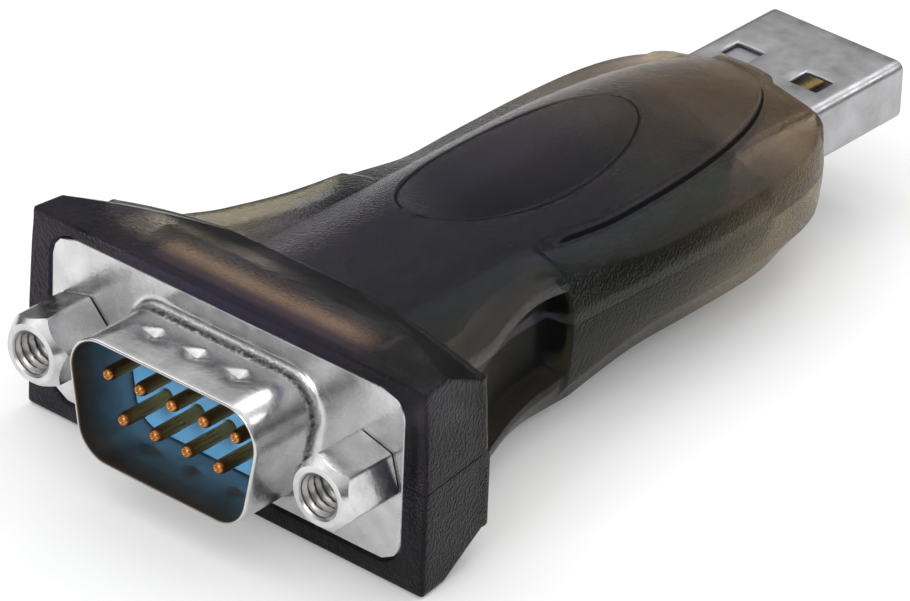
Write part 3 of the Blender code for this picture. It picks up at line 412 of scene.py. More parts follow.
FLANK_RUNS = (8, 3, 4, 2)
FLANK_RADII = (0, 0.2, 0.1, 0.2, 0.3)
CROWN_COLUMNS = 24  # between the pad's edge and the dish's rim, and as many inside it
ARC_STEPS = 4


def upper_sections(y):
    """Half sections of the upper half, from the seam over the rim and the pad to the middle. On the
    crown the columns follow the rim of the dish and crowd at it from both sides."""
    high = rim_z(y)
    inset = ease(SHOULDER_CREST_FRONT, SHOULDER_CREST_REAR, y, SHOULDER_START, RIM_FALL_END)
    crest = rim_x(y) + SIDE_BULGE - inset
    edge = pad_x(y)
    step = pad_step(y)
    foot_z = crown_z(edge, y) - step
    deep = PAD_GROOVE * ease(0.0, 1.0, y, PAD_FRONT_Y, PAD_FRONT_Y + 2.0)
    foot = (np.minimum(edge + PAD_STEP_RUN * 0.6, crest - PAD_STEP_RUN), foot_z - deep)
    lift = step * (pad_lift(y) - 1)
    corners = flank(y, crest, high) + [foot, (edge, foot_z + step + lift)]
    near = 0.94
    corners.append((edge * near, crown_z(edge * near, y) + lift))
    rows = np.stack([np.stack(np.broadcast_arrays(*pair), -1) for pair in corners], 1)
    side = softened(rows, FLANK_RADII + (0.14, 0.12), FLANK_RUNS + (10, 2, 1), ARC_STEPS)
    rim = DISH_HALF_WIDTH * np.sqrt(np.clip(1 - ((y - DISH_Y) / DISH_HALF_LENGTH) ** 2, 0.01, 1))
    rim = np.minimum(rim, edge * 0.8)[:, None]
    t = np.linspace(0, 1, CROWN_COLUMNS + 1)[None, 1:]
    outer, inner = 1 - (1 - t) ** 1.8, t**1.8
    x = np.concatenate([edge[:, None] * near * (1 - outer) + rim * outer, rim * (1 - inner)], 1)
    z = crown_z(x, y[:, None]) + lift[:, None]
    return np.concatenate([side, np.stack([x, z], -1)], 1)


def lower_sections(y):
    """Half sections of the lower half, heights counted downwards, from the seam to the keel."""
    high = rim_z(y) + KEEL_DROP
    crest = rim_x(y) + SIDE_BULGE - LOWER_CREST
    keel = ease(UNDERSIDE_Z, UNDERSIDE_TAIL_Z, y, TAIL_RISE_START, BODY_END)
    edge_x = rim_x(y) - ease(UNDER_EDGE_INSET, UNDER_EDGE_TAIL_INSET, y, TAIL_RISE_START, BODY_END)
    edge_z = np.minimum(high + UNDER_EDGE_DROP, keel - UNDERSIDE_CROWN)
    corners = flank(y, crest, high)
    middle = (crest * 0.45 + edge_x * 0.55, high * 0.5 + edge_z * 0.5)
    near = 0.93
    corners += [middle, (edge_x, edge_z), (edge_x * near, keel + (edge_z - keel) * near**2)]
    rows = np.stack([np.stack(np.broadcast_arrays(*pair), -1) for pair in corners], 1)
    side = softened(rows, FLANK_RADII + (0.6, 0.9), FLANK_RUNS + (10, 2, 1), ARC_STEPS)
    share = np.linspace(near, 0, 2 * CROWN_COLUMNS + 1)[None, 1:]
    x = edge_x[:, None] * share
    z = keel[:, None] + (edge_z - keel)[:, None] * share**2
    return np.concatenate([side, np.stack([x, z], -1)], 1)


def collar_section(half, reach, top):
    """One half section of the collar with as many points as a body section: the side, a rounded
    corner and the flat top or bottom."""
    up = [(half, SEAM), (half - (half - reach) * 0.3, top * 0.35), (half - (half - reach) * 0.6, top * 0.65),
          (reach, top - 0.9), (reach, top), (reach * 0.86, top), (reach * 0.8, top), (reach * 0.78, top)]
    rows = np.array(up, float)[None]
    side = softened(rows, (0, 0.3, 0.3, 0.2, 0.6, 0.1, 0.1), FLANK_RUNS + (10, 2, 1), ARC_STEPS)[0]
    x = np.linspace(reach * 0.78, 0, 2 * CROWN_COLUMNS + 1)[1:]
    return np.concatenate([side, np.stack([x, np.full_like(x, top)], -1)], 0)


def offset(section, distance):
    """A half section moved inwards along its own normals."""
    run = np.gradient(section, axis=0)
    normal = np.stack([run[:, 1], -run[:, 0]], -1)
    normal /= np.linalg.norm(normal, axis=1)[:, None] + 1e-9
    moved = section - normal * distance
    moved[0, 1] = section[0, 1]
    moved[-1, 0] = 0.0
    return moved


def nearest_on_rectangle(points, half_width, half_height, radius):
    """The nearest point of a rounded rectangle's outline, for points outside it."""
    core = np.stack([np.clip(points[:, 0], -(half_width - radius), half_width - radius),
                     np.clip(points[:, 1], -(half_height - radius), half_height - radius)], -1)
    away = points - core
    length = np.linalg.norm(away, axis=1)[:, None]
    away = np.where(length > 1e-6, away / np.maximum(length, 1e-6), np.array([1.0, 0.0]))
    return core + away * radius


def along(corners, count):
    """Points spread along a polyline by its length, with as many as a section has."""
    corners = np.array(corners, float)
    lengths = np.r_[0, np.cumsum(np.linalg.norm(np.diff(corners, axis=0), axis=1))]
    s = np.linspace(0, lengths[-1], count)
    return np.stack([np.interp(s, lengths, corners[:, 0]), np.interp(s, lengths, corners[:, 1])], -1)


def from_dish(x, y):
    """Distance from the rim of the dish, seen from above: the ellipse's level over its slope."""
    along_x, along_y = x / DISH_HALF_WIDTH, (y - DISH_Y) / DISH_HALF_LENGTH
    level = np.hypot(along_x, along_y)
    slope = np.hypot(along_x / DISH_HALF_WIDTH, along_y / DISH_HALF_LENGTH) / np.maximum(level, 0.1)
    return (level - 1) / np.maximum(slope, 0.02)


def from_pad(x, y):
    """Distance from the foot of the step round the pad, seen from above."""
    lean = (pad_x(y + 0.05) - pad_x(y - 0.05)) / 0.1
    return (np.abs(x) - pad_x(y) - PAD_STEP_RUN * 0.6) / np.sqrt(1 + lean**2)


def mark_creases(made):
    """Writes the rim of the dish and the foot of the pad's step, where light is lost, into an attribute that
    the material paints near black as shade.
    """
    x, y, z = points_of(made).T
    dish = np.exp(-((from_dish(x, y) / 0.085) ** 2)) * (z > ROOF + 0.4)
    pad = np.exp(-((from_pad(x, y) / 0.11) ** 2)) * (z > 2.8)
    pad *= ease(0.0, 1.0, y, PAD_FRONT_Y, PAD_FRONT_Y + 3.0) * ease(0.0, 1.0, np.abs(x), 1.2, 2.8)
    write_values(made, "crease", np.maximum(dish, pad) * 0.9)


def dished(x, y, z):
    """Heights of the crown with the thumb dish: the lower of crown and flat ball, met smoothly."""
    crest = crown_z(0.0, DISH_Y)
    rim = crown_z(DISH_HALF_WIDTH, DISH_Y)
    centre = crest - DISH_DEPTH + DISH_BALL_HEIGHT
    across = DISH_HALF_WIDTH / math.sqrt(1 - ((centre - rim) / DISH_BALL_HEIGHT) ** 2)
    long = DISH_HALF_LENGTH / math.sqrt(1 - ((centre - crest) / DISH_BALL_HEIGHT) ** 2)
    inside = 1 - (x / across) ** 2 - ((y - DISH_Y) / long) ** 2
    ball = centre - DISH_BALL_HEIGHT * np.sqrt(np.maximum(inside, 0.0))
    blend = 0.02
    gap = np.clip(0.5 + 0.5 * (z - ball) / blend, 0, 1)
    lower = z + (ball - z) * gap - blend * gap * (1 - gap)
    groove = DISH_GROOVE * np.exp(-((from_dish(x, y) / 0.12) ** 2))
    return np.where(inside > 0, lower, z) - groove


def housing_rings(side):
    """Rings of a half shell, each a half section with its own places along Y: through the hollow
    to the front, over the front face, back over collar and body, and in to the plug's opening.
    Returns the sections (rings, columns, 2), the places (rings, columns) and which are outside."""
    upper = side > 0
    sections = upper_sections if upper else lower_sections
    top = COLLAR_TOP if upper else COLLAR_BOTTOM
    depth = COLLAR_DEPTH if upper else COLLAR_DEPTH + LOWER_COLLAR_LAG
    draft = COLLAR_DRAFT if upper else 0.0
    end_start = BODY_END - END_ROUND
    inner, outer = [], []

    def put(kept, section, y):
        """Keeps a ring: a half section, and its places along Y or one place for all of it."""
        kept.append((section, np.broadcast_to(np.asarray(y, float), section.shape[:1])))

    def collar_at(y):
        """The collar's half section, which narrows evenly towards its back."""
        taper = COLLAR_TAPER * (y + COLLAR_PROUD) / (depth + COLLAR_PROUD)
        return collar_section(COLLAR_HALF_WIDTH - taper, COLLAR_HALF_WIDTH - taper - draft, top)

    # Inner side, from the plug's opening to the flange's seat
    outer_end = sections(np.array([end_start]))[0]
    opening = nearest_on_rectangle(outer_end, PLUG_HALF_WIDTH + FIT, PLUG_HALF_HEIGHT + FIT, PLUG_CORNER)
    hollow_end = PLUG_REAR - 0.6
    put(inner, opening, tail_y(opening[:, 0]))
    put(inner, opening, hollow_end)
    inner_y = np.linspace(hollow_end, CHAMBER_BACK, HOLLOW_RINGS)
    wall = rim_x(inner_y) + np.where(inner_y <= POCKET_END, -POCKET_DEPTH, SIDE_BULGE) - WALL
    for y, limit, section in zip(inner_y, wall, sections(np.maximum(inner_y, COLLAR_DEPTH))):
        roof = ROOF if upper else min(FLOOR, section[-1, 1] - WALL)
        x = np.minimum(section[:, 0] * (1 - WALL / section[0, 0]), limit)
        z = SEAM + (section[:, 1] - SEAM) * (roof - SEAM) / (section[:, 1].max() - SEAM)
        put(inner, np.stack([x, z], -1), y)
    front = collar_at(-COLLAR_PROUD)
    chamber = along(CHAMBER_OUTLINE, len(front))
    put(inner, chamber, CHAMBER_BACK)
    put(inner, chamber, CHAMBER_FRONT)
    seat = nearest_on_rectangle(front, FLANGE_HALF_WIDTH + FIT, FLANGE_HALF_HEIGHT + FIT, FLANGE_CORNER)
    put(inner, seat, CHAMBER_FRONT)
    put(inner, seat, SEAT_EDGE - COLLAR_PROUD)
    wider = FIT + SEAT_EDGE
    edge = nearest_on_rectangle(front, FLANGE_HALF_WIDTH + wider, FLANGE_HALF_HEIGHT + wider,
                                FLANGE_CORNER + SEAT_EDGE)
    put(outer, edge, -COLLAR_PROUD)

    # Front face, its rounded edge, and the collar to the arc where its top starts to fall
    for turn in np.linspace(math.pi / 2, 0, 6):
        y = FRONT_ROUND * (1 - math.sin(turn)) - COLLAR_PROUD
        put(outer, offset(collar_at(y), FRONT_ROUND * (1 - math.cos(turn))), y)
    flat_start = FRONT_ROUND - COLLAR_PROUD
    base = collar_at(flat_start)
    arc = depth - base[:, 0] ** 2 / (2 * COLLAR_ARC_RADIUS)
    arc = np.minimum(arc, depth - BACK_ROUND - 0.05)
    corner = int(np.argmax(base[:, 1] > top - 0.02))
    arc[:corner] = arc[corner]
    for share in (0.3, 0.65, 0.93, 1.0, 1.05, 1.2, 1.45, 1.7, 1.92):
        if share <= 1:
            y = flat_start + share * (arc - flat_start)
        else:
            y = arc + (share - 1) * (depth - BACK_ROUND - arc)
        fall = COLLAR_SLOPE * np.maximum(y - arc, 0.0)
        fall[:corner] = fall[corner]
        narrow = 1 - COLLAR_TAPER * (y - flat_start) / (depth + COLLAR_PROUD) / COLLAR_HALF_WIDTH
        z = SEAM + (base[:, 1] - SEAM) * (top - fall - SEAM) / (top - SEAM)
        back = np.stack([base[:, 0] * narrow, z], -1)
        put(outer, back, y)

    # Rounded back edge of the collar, its back face and the fillet at the body's root
    for turn in np.linspace(0, math.pi / 2, 6):
        y = depth - BACK_ROUND * (1 - math.sin(turn))
        put(outer, offset(back, BACK_ROUND * (1 - math.cos(turn))), y)
    back_face = offset(back, BACK_ROUND)
    root = sections(np.array([depth, depth + 0.2]))
    for share in (0.4, 0.8, 0.93):
        put(outer, back_face * (1 - share) + root[0] * share, depth)
    put(outer, back_face * 0.015 + root[1] * 0.985, depth + 0.1)

    # Body, then the rear face: a quarter round above, the rounded plan at the sides
    places = np.concatenate([
        np.linspace(depth + 0.4, POCKET_END - 0.4, 44),
        np.linspace(POCKET_END - 0.3, POCKET_END + POCKET_STEP + 0.3, 13),
        np.linspace(POCKET_END + POCKET_STEP + 0.45, end_start - 2.4, 180),
        np.linspace(end_start - 2.3, end_start - 0.05, 20),
    ])
    for y, section in zip(places, sections(places)):
        put(outer, section, y)
    reach = opening - outer_end
    length = np.linalg.norm(reach, axis=1)
    topness = (np.abs(reach[:, 1]) / np.maximum(length, 1e-6)) ** 2
    fall = np.maximum((1 - END_SHARE) * outer_end[:, 1], 0.3)
    for share in (0.0, 0.01, 0.035, 0.08, 0.15, 0.24, 0.36, 0.5, 0.68, 0.86):
        section = outer_end + reach * share
        lateral = np.clip(share * length / fall, 0, 1)
        by_width = tail_y(section[:, 0])
        by_height = np.minimum(end_start + END_ROUND * np.sqrt(1 - (1 - lateral) ** 2), by_width)
        put(outer, section, np.maximum(by_width * (1 - topness) + by_height * topness, end_start))
    rings = inner + outer
    shown = np.arange(len(rings)) >= len(inner)
    return np.stack([ring[0] for ring in rings]), np.stack([ring[1] for ring in rings]), shown


def housing_half(name, side):
    """A half shell: its rings mirrored to full width and joined in a closed loop, with flat seams."""
    sections, places, shown = housing_rings(side)
    x, z = sections[..., 0], sections[..., 1]
    if side > 0:
        crown = shown[:, None] & (places > DISH_Y - DISH_HALF_LENGTH - 2) & (x < PAD_HALF_WIDTH)
        z = np.where(crown, dished(x, places, z), z)
    right = np.stack([x, places, z * side], -1)
    left = right[:, -2::-1] * np.array([-1.0, 1.0, 1.0])
    points = np.concatenate([right, left], 1)
    rows, columns = points.shape[:2]
    faces = grid_faces(rows, columns, wrap_rows=True).tolist()
    faces.append((np.arange(rows) * columns).tolist())
    faces.append((np.arange(rows)[::-1] * columns + columns - 1).tolist())
    made = new_mesh(name, points.reshape(-1, 3), faces)
    smooth(made, 26.0)
    if side > 0:
        mark_creases(made)
    return made


def outline_of(corners, radius, arc, runs):
    """A closed convex outline: straights cut into runs, and corners that are arcs of the radius."""
    corners = np.array(corners, float)
    points = []
    count = len(corners)
    for k in range(count):
        here = corners[k]
        back = corners[k - 1] - here
        ahead = corners[(k + 1) % count] - here
        back /= np.linalg.norm(back)
        ahead /= np.linalg.norm(ahead)
        half = math.acos(float(back @ ahead)) / 2
        centre = here + (back + ahead) / np.linalg.norm(back + ahead) * radius / math.sin(half)
        start = here + back * radius / math.tan(half) - centre
        end = here + ahead * radius / math.tan(half) - centre
        sweep = math.pi - 2 * half
        t = np.linspace(0, 1, arc + 1)[:, None]
        points.append(centre + (np.sin((1 - t) * sweep) * start + np.sin(t * sweep) * end) / math.sin(sweep))
    full = []
    for k in range(count):
        full.append(points[k])
        share = (np.arange(1, runs[k]) / runs[k])[:, None]
        full.append(points[k][-1] * (1 - share) + points[(k + 1) % count][0] * share)
    return np.concatenate(full)


def mouth_outline(outward):
    """The D of the mouth moved outwards: wide above, slanting in below, round at its corners."""
    slant = math.tan(MOUTH_SLANT)
    side = outward / math.cos(MOUTH_SLANT)
    wide = MOUTH_WIDTH / 2 + side + outward * slant
    narrow = MOUTH_WIDTH / 2 - (MOUTH_TOP + MOUTH_BOTTOM) * slant + side - outward * slant
    high, low = MOUTH_TOP + outward, -MOUTH_BOTTOM - outward
    corners = ((wide, high), (-wide, high), (-narrow, low), (narrow, low))
    return outline_of(corners, MOUTH_CORNER + outward, 12, (110, 14, 90, 14))


def flange_outline(inset=0.0):
    """The flange's rounded rectangle, met by rays from the middle through the mouth's points."""
    rays = mouth_outline(ROOT_FILLET)
    wide, tall = FLANGE_HALF_WIDTH - inset, FLANGE_HALF_HEIGHT - inset
    away = np.maximum(np.abs(rays), 1e-6)
    reach = np.minimum(wide / away[:, 0], tall / away[:, 1])
    return nearest_on_rectangle(rays * reach[:, None], wide, tall, FLANGE_CORNER - inset)


def ring(outline, y):
    """An outline's points (x, z), all at one place along Y."""
    return np.stack([outline[:, 0], np.full(len(outline), y), outline[:, 1]], -1)


def dent_pull(points):
    """How far the mouth's walls are pushed in at three places above and three below: a depth that
    falls evenly from the middle of a diamond to its softened edge, and a shallow bowl round it."""
    pull = np.zeros(len(points))
    middle_y = DENT_BACK - MOUTH_DEPTH
    for k in (-1, 0, 1):
        dx = np.abs(points[:, 0] - k * DENT_PITCH) / (DENT_WIDTH / 2)
        dy = np.abs(points[:, 1] - middle_y) / (DENT_LENGTH / 2)
        far = (dx**DENT_POWER + dy**DENT_POWER) ** (1 / DENT_POWER)
        pit = DENT_DEPTH * np.log1p(np.exp((DENT_REACH - far) / DENT_SOFTNESS)) * DENT_SOFTNESS
        pull += pit + DENT_BOWL * np.exp(-0.9 * (dx**2 + dy**2))
    return pull


def serial_shell_mesh():
    """Flange and mouth of one pressed sheet: its section, a loop from the flange's back over the
    front, along the mouth and back inside, is carried round the D of the mouth."""
    edge = 0.08
    rings = [ring(flange_outline(), SHEET), ring(flange_outline(), edge), ring(flange_outline(edge), 0.0)]
    foot = mouth_outline(ROOT_FILLET)
    plate = flange_outline(edge)
    for share in (0.25, 0.5, 0.75, 0.92):
        rings.append(ring(plate * (1 - share) + foot * share, 0.0))
    for turn in np.linspace(0, math.pi / 2, 9):
        outward, forward = ROOT_FILLET * (1 - math.sin(turn)), ROOT_FILLET * (1 - math.cos(turn))
        rings.append(ring(mouth_outline(outward), -forward))
    lip = 0.13
    walls = np.concatenate([np.linspace(-1.0, -4.6, 60), np.linspace(-4.7, -MOUTH_DEPTH + lip, 4)])
    wall_rings = [ring(mouth_outline(0.0), y) for y in walls]
    for turn in np.linspace(0, math.pi, 9)[1:-1]:
        outward, back = lip * (math.cos(turn) - 1), lip * (1 - math.sin(turn))
        wall_rings.append(ring(mouth_outline(outward), -MOUTH_DEPTH + back))
    thick = np.interp(walls, (-MOUTH_DEPTH + lip, -MOUTH_DEPTH + 1.6), (2 * lip, SHEET))
    wall_rings += [ring(mouth_outline(-t), y) for t, y in zip(thick[::-1], walls[::-1])]
    for points in wall_rings:
        level = (np.abs(points[:, 2]) > 3.2) & (np.abs(points[:, 0]) < 6.2)
        points[:, 2] -= np.sign(points[:, 2]) * dent_pull(points) * level
    rings += wall_rings
    inner = ROOT_FILLET + SHEET
    for turn in np.linspace(math.pi / 2, 0, 9):
        out = inner * (1 - math.sin(turn)) - SHEET
        rings.append(ring(mouth_outline(out), SHEET - inner * (1 - math.cos(turn))))
    made = ring_mesh("serial_front_shell", rings, True)
    cut_jack_holes(made)
    smooth(made, 32.0)
    # Painted shade on the inside of the mouth.
    mark_inside(made, 0.0, 10.0)
    mark_fold(made)
    return made


def turned(name, profile, centre_x=0.0, centre_z=0.0, count=32):
    """A closed turned surface: a profile of (radius, y), from pole to pole, carried round Y."""
    profile = np.array(profile, float)
    a = np.linspace(0, 2 * math.pi, count, endpoint=False)[None, :]
    radius = np.maximum(profile[:, :1], 1e-7)
    rings = np.stack([centre_x + radius * np.cos(a), np.repeat(profile[:, 1:], count, 1),
                      centre_z + radius * np.sin(a)], -1)
    return ring_mesh(name, rings)


def subtract(made, cutter):
    """Cuts one closed mesh with another, applies the cut and removes the cutter."""
    step = made.modifiers.new("cut", "BOOLEAN")
    step.object = cutter
    step.operation = "DIFFERENCE"
    apply_modifiers(made)
    bpy.data.objects.remove(cutter, do_unlink=True)


def apply_modifiers(made):
    """Puts the evaluated mesh in place of the piece's own, and clears its modifiers."""
    bpy.context.view_layer.update()
    depsgraph = bpy.context.evaluated_depsgraph_get()
    mesh = bpy.data.meshes.new_from_object(made.evaluated_get(depsgraph))
    made.modifiers.clear()
    made.data = mesh


def cut_jack_holes(made):
    """Cuts the flange's two round holes for the studs."""
    for hand in (-1, 1):
        reach = 2.0
        radius = STUD_RADIUS + FIT
        profile = [(0, -reach), (radius, -reach), (radius, reach), (0, reach)]
        subtract(made, turned("hole", profile, hand * JACK_X))


def pin_places():
    """The pins' (x, z): five above, then four below, from the left as they are faced."""
    rows = ((LONG_ROW_COUNT, ROW_SPACING / 2), (SHORT_ROW_COUNT, -ROW_SPACING / 2))
    return [((k - (count - 1) / 2) * PIN_PITCH, z) for count, z in rows for k in range(count)]


def insert_mesh():
    """Moulded insert: a D nose in the mouth, a wider block behind the flange and nine pin holes."""
    nose = mouth_outline(-SHEET - FIT)
    rim = mouth_outline(-SHEET - FIT - 0.12)
    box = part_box("serial_insert")
    half_width = box[1].x / MM
    half_height = (box[1].z - box[0].z) / 2 / MM
    face, step, back = -0.9, 0.72, (box[1].y - ORIGIN[1]) / MM
    rays = nose / np.abs(nose / np.array([half_width, half_height])).max(axis=1)[:, None]
    block = nearest_on_rectangle(rays, half_width, half_height, 0.6)
    middle = np.zeros_like(nose)
    outlines = ((middle, face), (rim, face), (nose, face + 0.1), (nose, step),
                (block, step), (block, back), (middle, back))
    made = ring_mesh("serial_pin_carrier", [ring(outline, y) for outline, y in outlines])
    for x, z in pin_places():
        radius = PIN_RADIUS + 0.03
        flare = 0.12
        profile = [(0, face - 1), (radius + flare + 1, face - 1), (radius + flare, face),
                   (radius, face + flare), (radius, back + 1), (0, back + 1)]
        subtract(made, turned("hole", profile, x, z, 24))
    smooth(made, 30.0)
    return made


def pin_mesh(number, x, z):
    """A turned pin: dimpled round tip, shank, and the thinner tail beside the board."""
    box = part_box(f"serial_pin_{number}")
    tail = (box[1].y - ORIGIN[1]) / MM
    tip = -PIN_REACH
    profile = [(0, tip + 0.16), (0.1, tip + 0.13), (0.17, tip + 0.03), (0.22, tip)]
    turn = np.linspace(0, math.pi / 2, 8)
    profile += [(0.24 + (PIN_RADIUS - 0.24) * math.sin(a), tip + 0.6 * (1 - math.cos(a))) for a in turn]
    thin = PIN_RADIUS - 0.1
    profile += [(PIN_RADIUS, tip + 1.5), (PIN_RADIUS, REAR_BOX_BACK), (thin, REAR_BOX_BACK + 0.05)]
    profile += [(thin, tail - 0.1), (PIN_RADIUS - 0.2, tail), (0, tail)]
    made = turned(f"turned_pin_{number}", profile, x, z, 28)
    smooth(made, 35.0)
    return made


def jackscrew_mesh(name, centre_x):
    """A hexagon whose front is turned to a cone, with a threaded bore and a stud: rings of radii
    over the angle round the axis. The thread is a helical ridge, a triangle wave of depth along Y."""
    count = 120
    turn = JACK_TURNS[1 if centre_x > 0 else -1]
    a = np.linspace(0, 2 * math.pi, count, endpoint=False)
    flats, corner, chamfer = 4.75, 2.7, 2.1
    hexagon = np.minimum(flats / 2 / np.cos(a % (math.pi / 3) - math.pi / 6), corner)
    front, back, bore_end = -4.9, -0.06, -0.9
    pitch, minor, major = 0.635, 1.28, 1.55
    rings = [(np.zeros(count) + 1e-6, bore_end), (np.full(count, minor), bore_end)]
    for y in np.arange(bore_end - 0.1, front + 0.12, -0.045):
        wave = np.abs(((y / pitch - a / (2 * math.pi)) % 1.0) * 2 - 1)
        fade = min((y - front) / 0.5, 1.0)
        depth = np.clip((wave - 0.12) / 0.76, 0, 1) * fade + (1 - fade)
        rings.append((minor + (major - minor) * depth, y))
    rings += [(np.full(count, 1.62), front + 0.06), (np.full(count, 1.69), front)]
    rings += [(np.full(count, radius), front) for radius in (1.85, chamfer - 0.08)]
    rings.append((np.full(count, chamfer), front + 0.02))
    for share in (0.25, 0.5, 0.75, 1.0):
        radius = chamfer + (hexagon - chamfer) * share
        rings.append((radius, front + (radius - chamfer) * 1.25 + 0.02))
    rings += [(hexagon, y) for y in (front + 1.0, front + 1.6, back - 0.12)]
    rings.append((hexagon - 0.1, back))
    stud = ((STUD_RADIUS, back), (STUD_RADIUS, STUD_END - 0.1), (STUD_RADIUS - 0.12, STUD_END),
            (1e-6, STUD_END))
    rings += [(np.full(count, radius), y) for radius, y in stud]
    radius = np.stack([r for r, _ in rings])
    y = np.stack([np.broadcast_to(place_y, (count,)) for _, place_y in rings])
    points = np.stack([centre_x + radius * np.cos(a + turn), y, radius * np.sin(a + turn)], -1)
    made = ring_mesh(name, points)
    smooth(made, 30.0)
    # Painted shade in the threaded bore, at half strength.
    mark_inside(made, centre_x, 1.66, 0.5)
    return made


def round_edges(made, width, segments, degrees):
    """Bevels the edges that are sharper than an angle, and shades the piece smooth."""
    edges = made.modifiers.new("edges", "BEVEL")
    edges.width = width * MM
    edges.segments = segments
    edges.limit_method = "ANGLE"
    edges.angle_limit = math.radians(degrees)
    apply_modifiers(made)
    smooth(made, 35.0)


def plug_shell_mesh():
    """The plug's tube: a rounded rectangle carried along Y, open at its ends, without the quads of
    the four windows and of the fold's slit below. Solidify gives the sheet, Bevel its edges."""
    wide, tall = PLUG_HALF_WIDTH, PLUG_HALF_HEIGHT
    window_in, window_out, slit = 1.9, 4.25, 0.03
    xs = np.array([slit, 0.9, window_in, 3.1, window_out, wide - PLUG_CORNER - 0.2])
    turn = np.linspace(0, math.pi / 2, 9)
    corner_x = wide - PLUG_CORNER + PLUG_CORNER * np.sin(turn)
    corner_z = tall - PLUG_CORNER + PLUG_CORNER * np.cos(turn)
    flat = np.stack([xs, np.full_like(xs, tall)], -1)
    quarter = np.concatenate([flat, np.stack([corner_x, corner_z], -1)])
    lower_quarter = quarter[::-1] * np.array([1, -1])
    half = np.concatenate([quarter, lower_quarter])
    outline = np.concatenate([half, half[::-1] * np.array([-1, 1])])
    front = PLUG_TIP - WINDOW_FRONT
    back = front - WINDOW_LENGTH
    ys = [*np.linspace(PLUG_REAR, back, 9), front - 1.0, front, *np.linspace(front + 0.9, PLUG_TIP, 6)]
    points = np.stack([ring(outline, y) for y in ys])
    rows, columns = points.shape[:2]
    faces = grid_faces(rows, columns, False, True)
    middle = points.reshape(-1, 3)[faces].mean(axis=1)
    level = np.abs(np.abs(middle[:, 2]) - tall) < 0.01
    across = (np.abs(middle[:, 0]) > window_in) & (np.abs(middle[:, 0]) < window_out)
    lengthways = (middle[:, 1] < front) & (middle[:, 1] > back)
    fold = (np.abs(middle[:, 0]) < slit / 2) & (middle[:, 2] < 0)
    made = new_mesh("plug_shell", points.reshape(-1, 3), faces[~((level & across & lengthways) | fold)])
    wall = made.modifiers.new("sheet", "SOLIDIFY")
    wall.thickness = PLUG_SHEET * MM
    wall.offset = -1.0
    wall.use_even_offset = True
    round_edges(made, 0.14, 3, 50)
    return made


def bevelled_copy(name, node, width):
    """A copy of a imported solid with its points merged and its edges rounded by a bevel."""
    made = add_object(name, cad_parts[node].data.copy())
    face_out(made)
    round_edges(made, width, 2, 40)
    return made


def raise_nub(tongue):
    """Adds the nub that stands under the left window: a rounded rectangle drawn in towards its top,
    from inside the tongue to just under the shell."""
    top = PLUG_HALF_HEIGHT - PLUG_SHEET - 0.12
    foot = max(corner[2] for corner in tongue.bound_box) / MM - ORIGIN[2] / MM - 0.2
    middle = np.array([-3.07, PLUG_TIP - 6.8])
    a = np.linspace(0, 2 * math.pi, 48, endpoint=False)
    circle = np.stack([np.cos(a), np.sin(a)], -1) * 4
    rings = []
    for inset, z in ((0.0, foot), (0.0, top - 0.25), (0.12, top - 0.08), (0.3, top)):
        outline = middle + nearest_on_rectangle(circle, 1.45 - inset, 1.25 - inset, 0.5 - inset)
        rings.append(np.stack([outline[:, 0], outline[:, 1], np.full(len(a), z)], -1))
    points = np.stack(rings)
    faces = grid_faces(len(rings), len(a), False, True).tolist()
    faces += [list(range(len(a))), list(range((len(rings) - 1) * len(a), len(rings) * len(a)))]
    nub = new_mesh("nub", points.reshape(-1, 3), faces)
    smooth(nub, 35.0)
    both = bmesh.new()
    both.from_mesh(tongue.data)
    both.from_mesh(nub.data)
    both.to_mesh(tongue.data)
    both.free()
    bpy.data.objects.remove(nub, do_unlink=True)


class Recipe:
    """A new material with short ways to add its nodes and wire them."""

    def __init__(self, name):
        self.material = bpy.data.materials.new(name)
        self.material.use_nodes = True
        self.nodes = self.material.node_tree.nodes
        self.links = self.material.node_tree.links
        self.nodes.clear()
        self.output = self.nodes.new("ShaderNodeOutputMaterial")

    def add(self, kind, inputs=(), **settings):
        """A node with its settings and its inputs: a value is set, another node's socket is wired."""
        node = self.nodes.new(f"ShaderNode{kind}")
        for key, value in settings.items():
            setattr(node, key, value)
        for key, value in dict(inputs).items():
            if isinstance(value, bpy.types.NodeSocket):
                self.links.new(value, node.inputs[key])
            else:
                node.inputs[key].default_value = value
        return node

    def noise(self, scale, detail=2.0, roughness=0.5):
        """Cloudy values, with so many features in a metre."""
        inputs = {"Scale": scale, "Detail": detail, "Roughness": roughness, "Vector": self.place()}
        return self.add("TexNoise", inputs).outputs["Fac"]

    def place(self):
        """Where a point is, in metres in the frame."""
        return self.add("TexCoord").outputs["Object"]

    def spread(self, socket, low, high, start=0.0, end=1.0):
        """A value stretched from one range to another, held at its ends."""
        inputs = {"Value": socket, "From Min": low, "From Max": high, "To Min": start, "To Max": end}
        return self.add("MapRange", inputs).outputs["Result"]

    def blend(self, share, first, second):
        """Two colours mixed by a share."""
        node = self.add("Mix", {0: share}, data_type="RGBA")
        for index, value in ((6, first), (7, second)):
            if isinstance(value, bpy.types.NodeSocket):
                self.links.new(value, node.inputs[index])
            else:
                node.inputs[index].default_value = (*value, 1.0)
        return node.outputs[2]

    def sum(self, first, second, operation="ADD"):
        """Two values added, or joined by another operation."""
        return self.add("Math", {0: first, 1: second}, operation=operation).outputs[0]

    def bump(self, height, distance, strength, normal=None):
        """A bump whose height of one stands for a distance in millimetres."""
        inputs = {"Height": height, "Distance": distance * MM, "Strength": strength}
        if normal is not None:
            inputs["Normal"] = normal
        return self.add("Bump", inputs).outputs["Normal"]

    def surface(self, **inputs):
        """The Principled shader, wired to the output."""
        shader = self.add("BsdfPrincipled", {key.replace("_", " "): value for key, value in inputs.items()})
        self.links.new(shader.outputs[0], self.output.inputs["Surface"])
        return shader


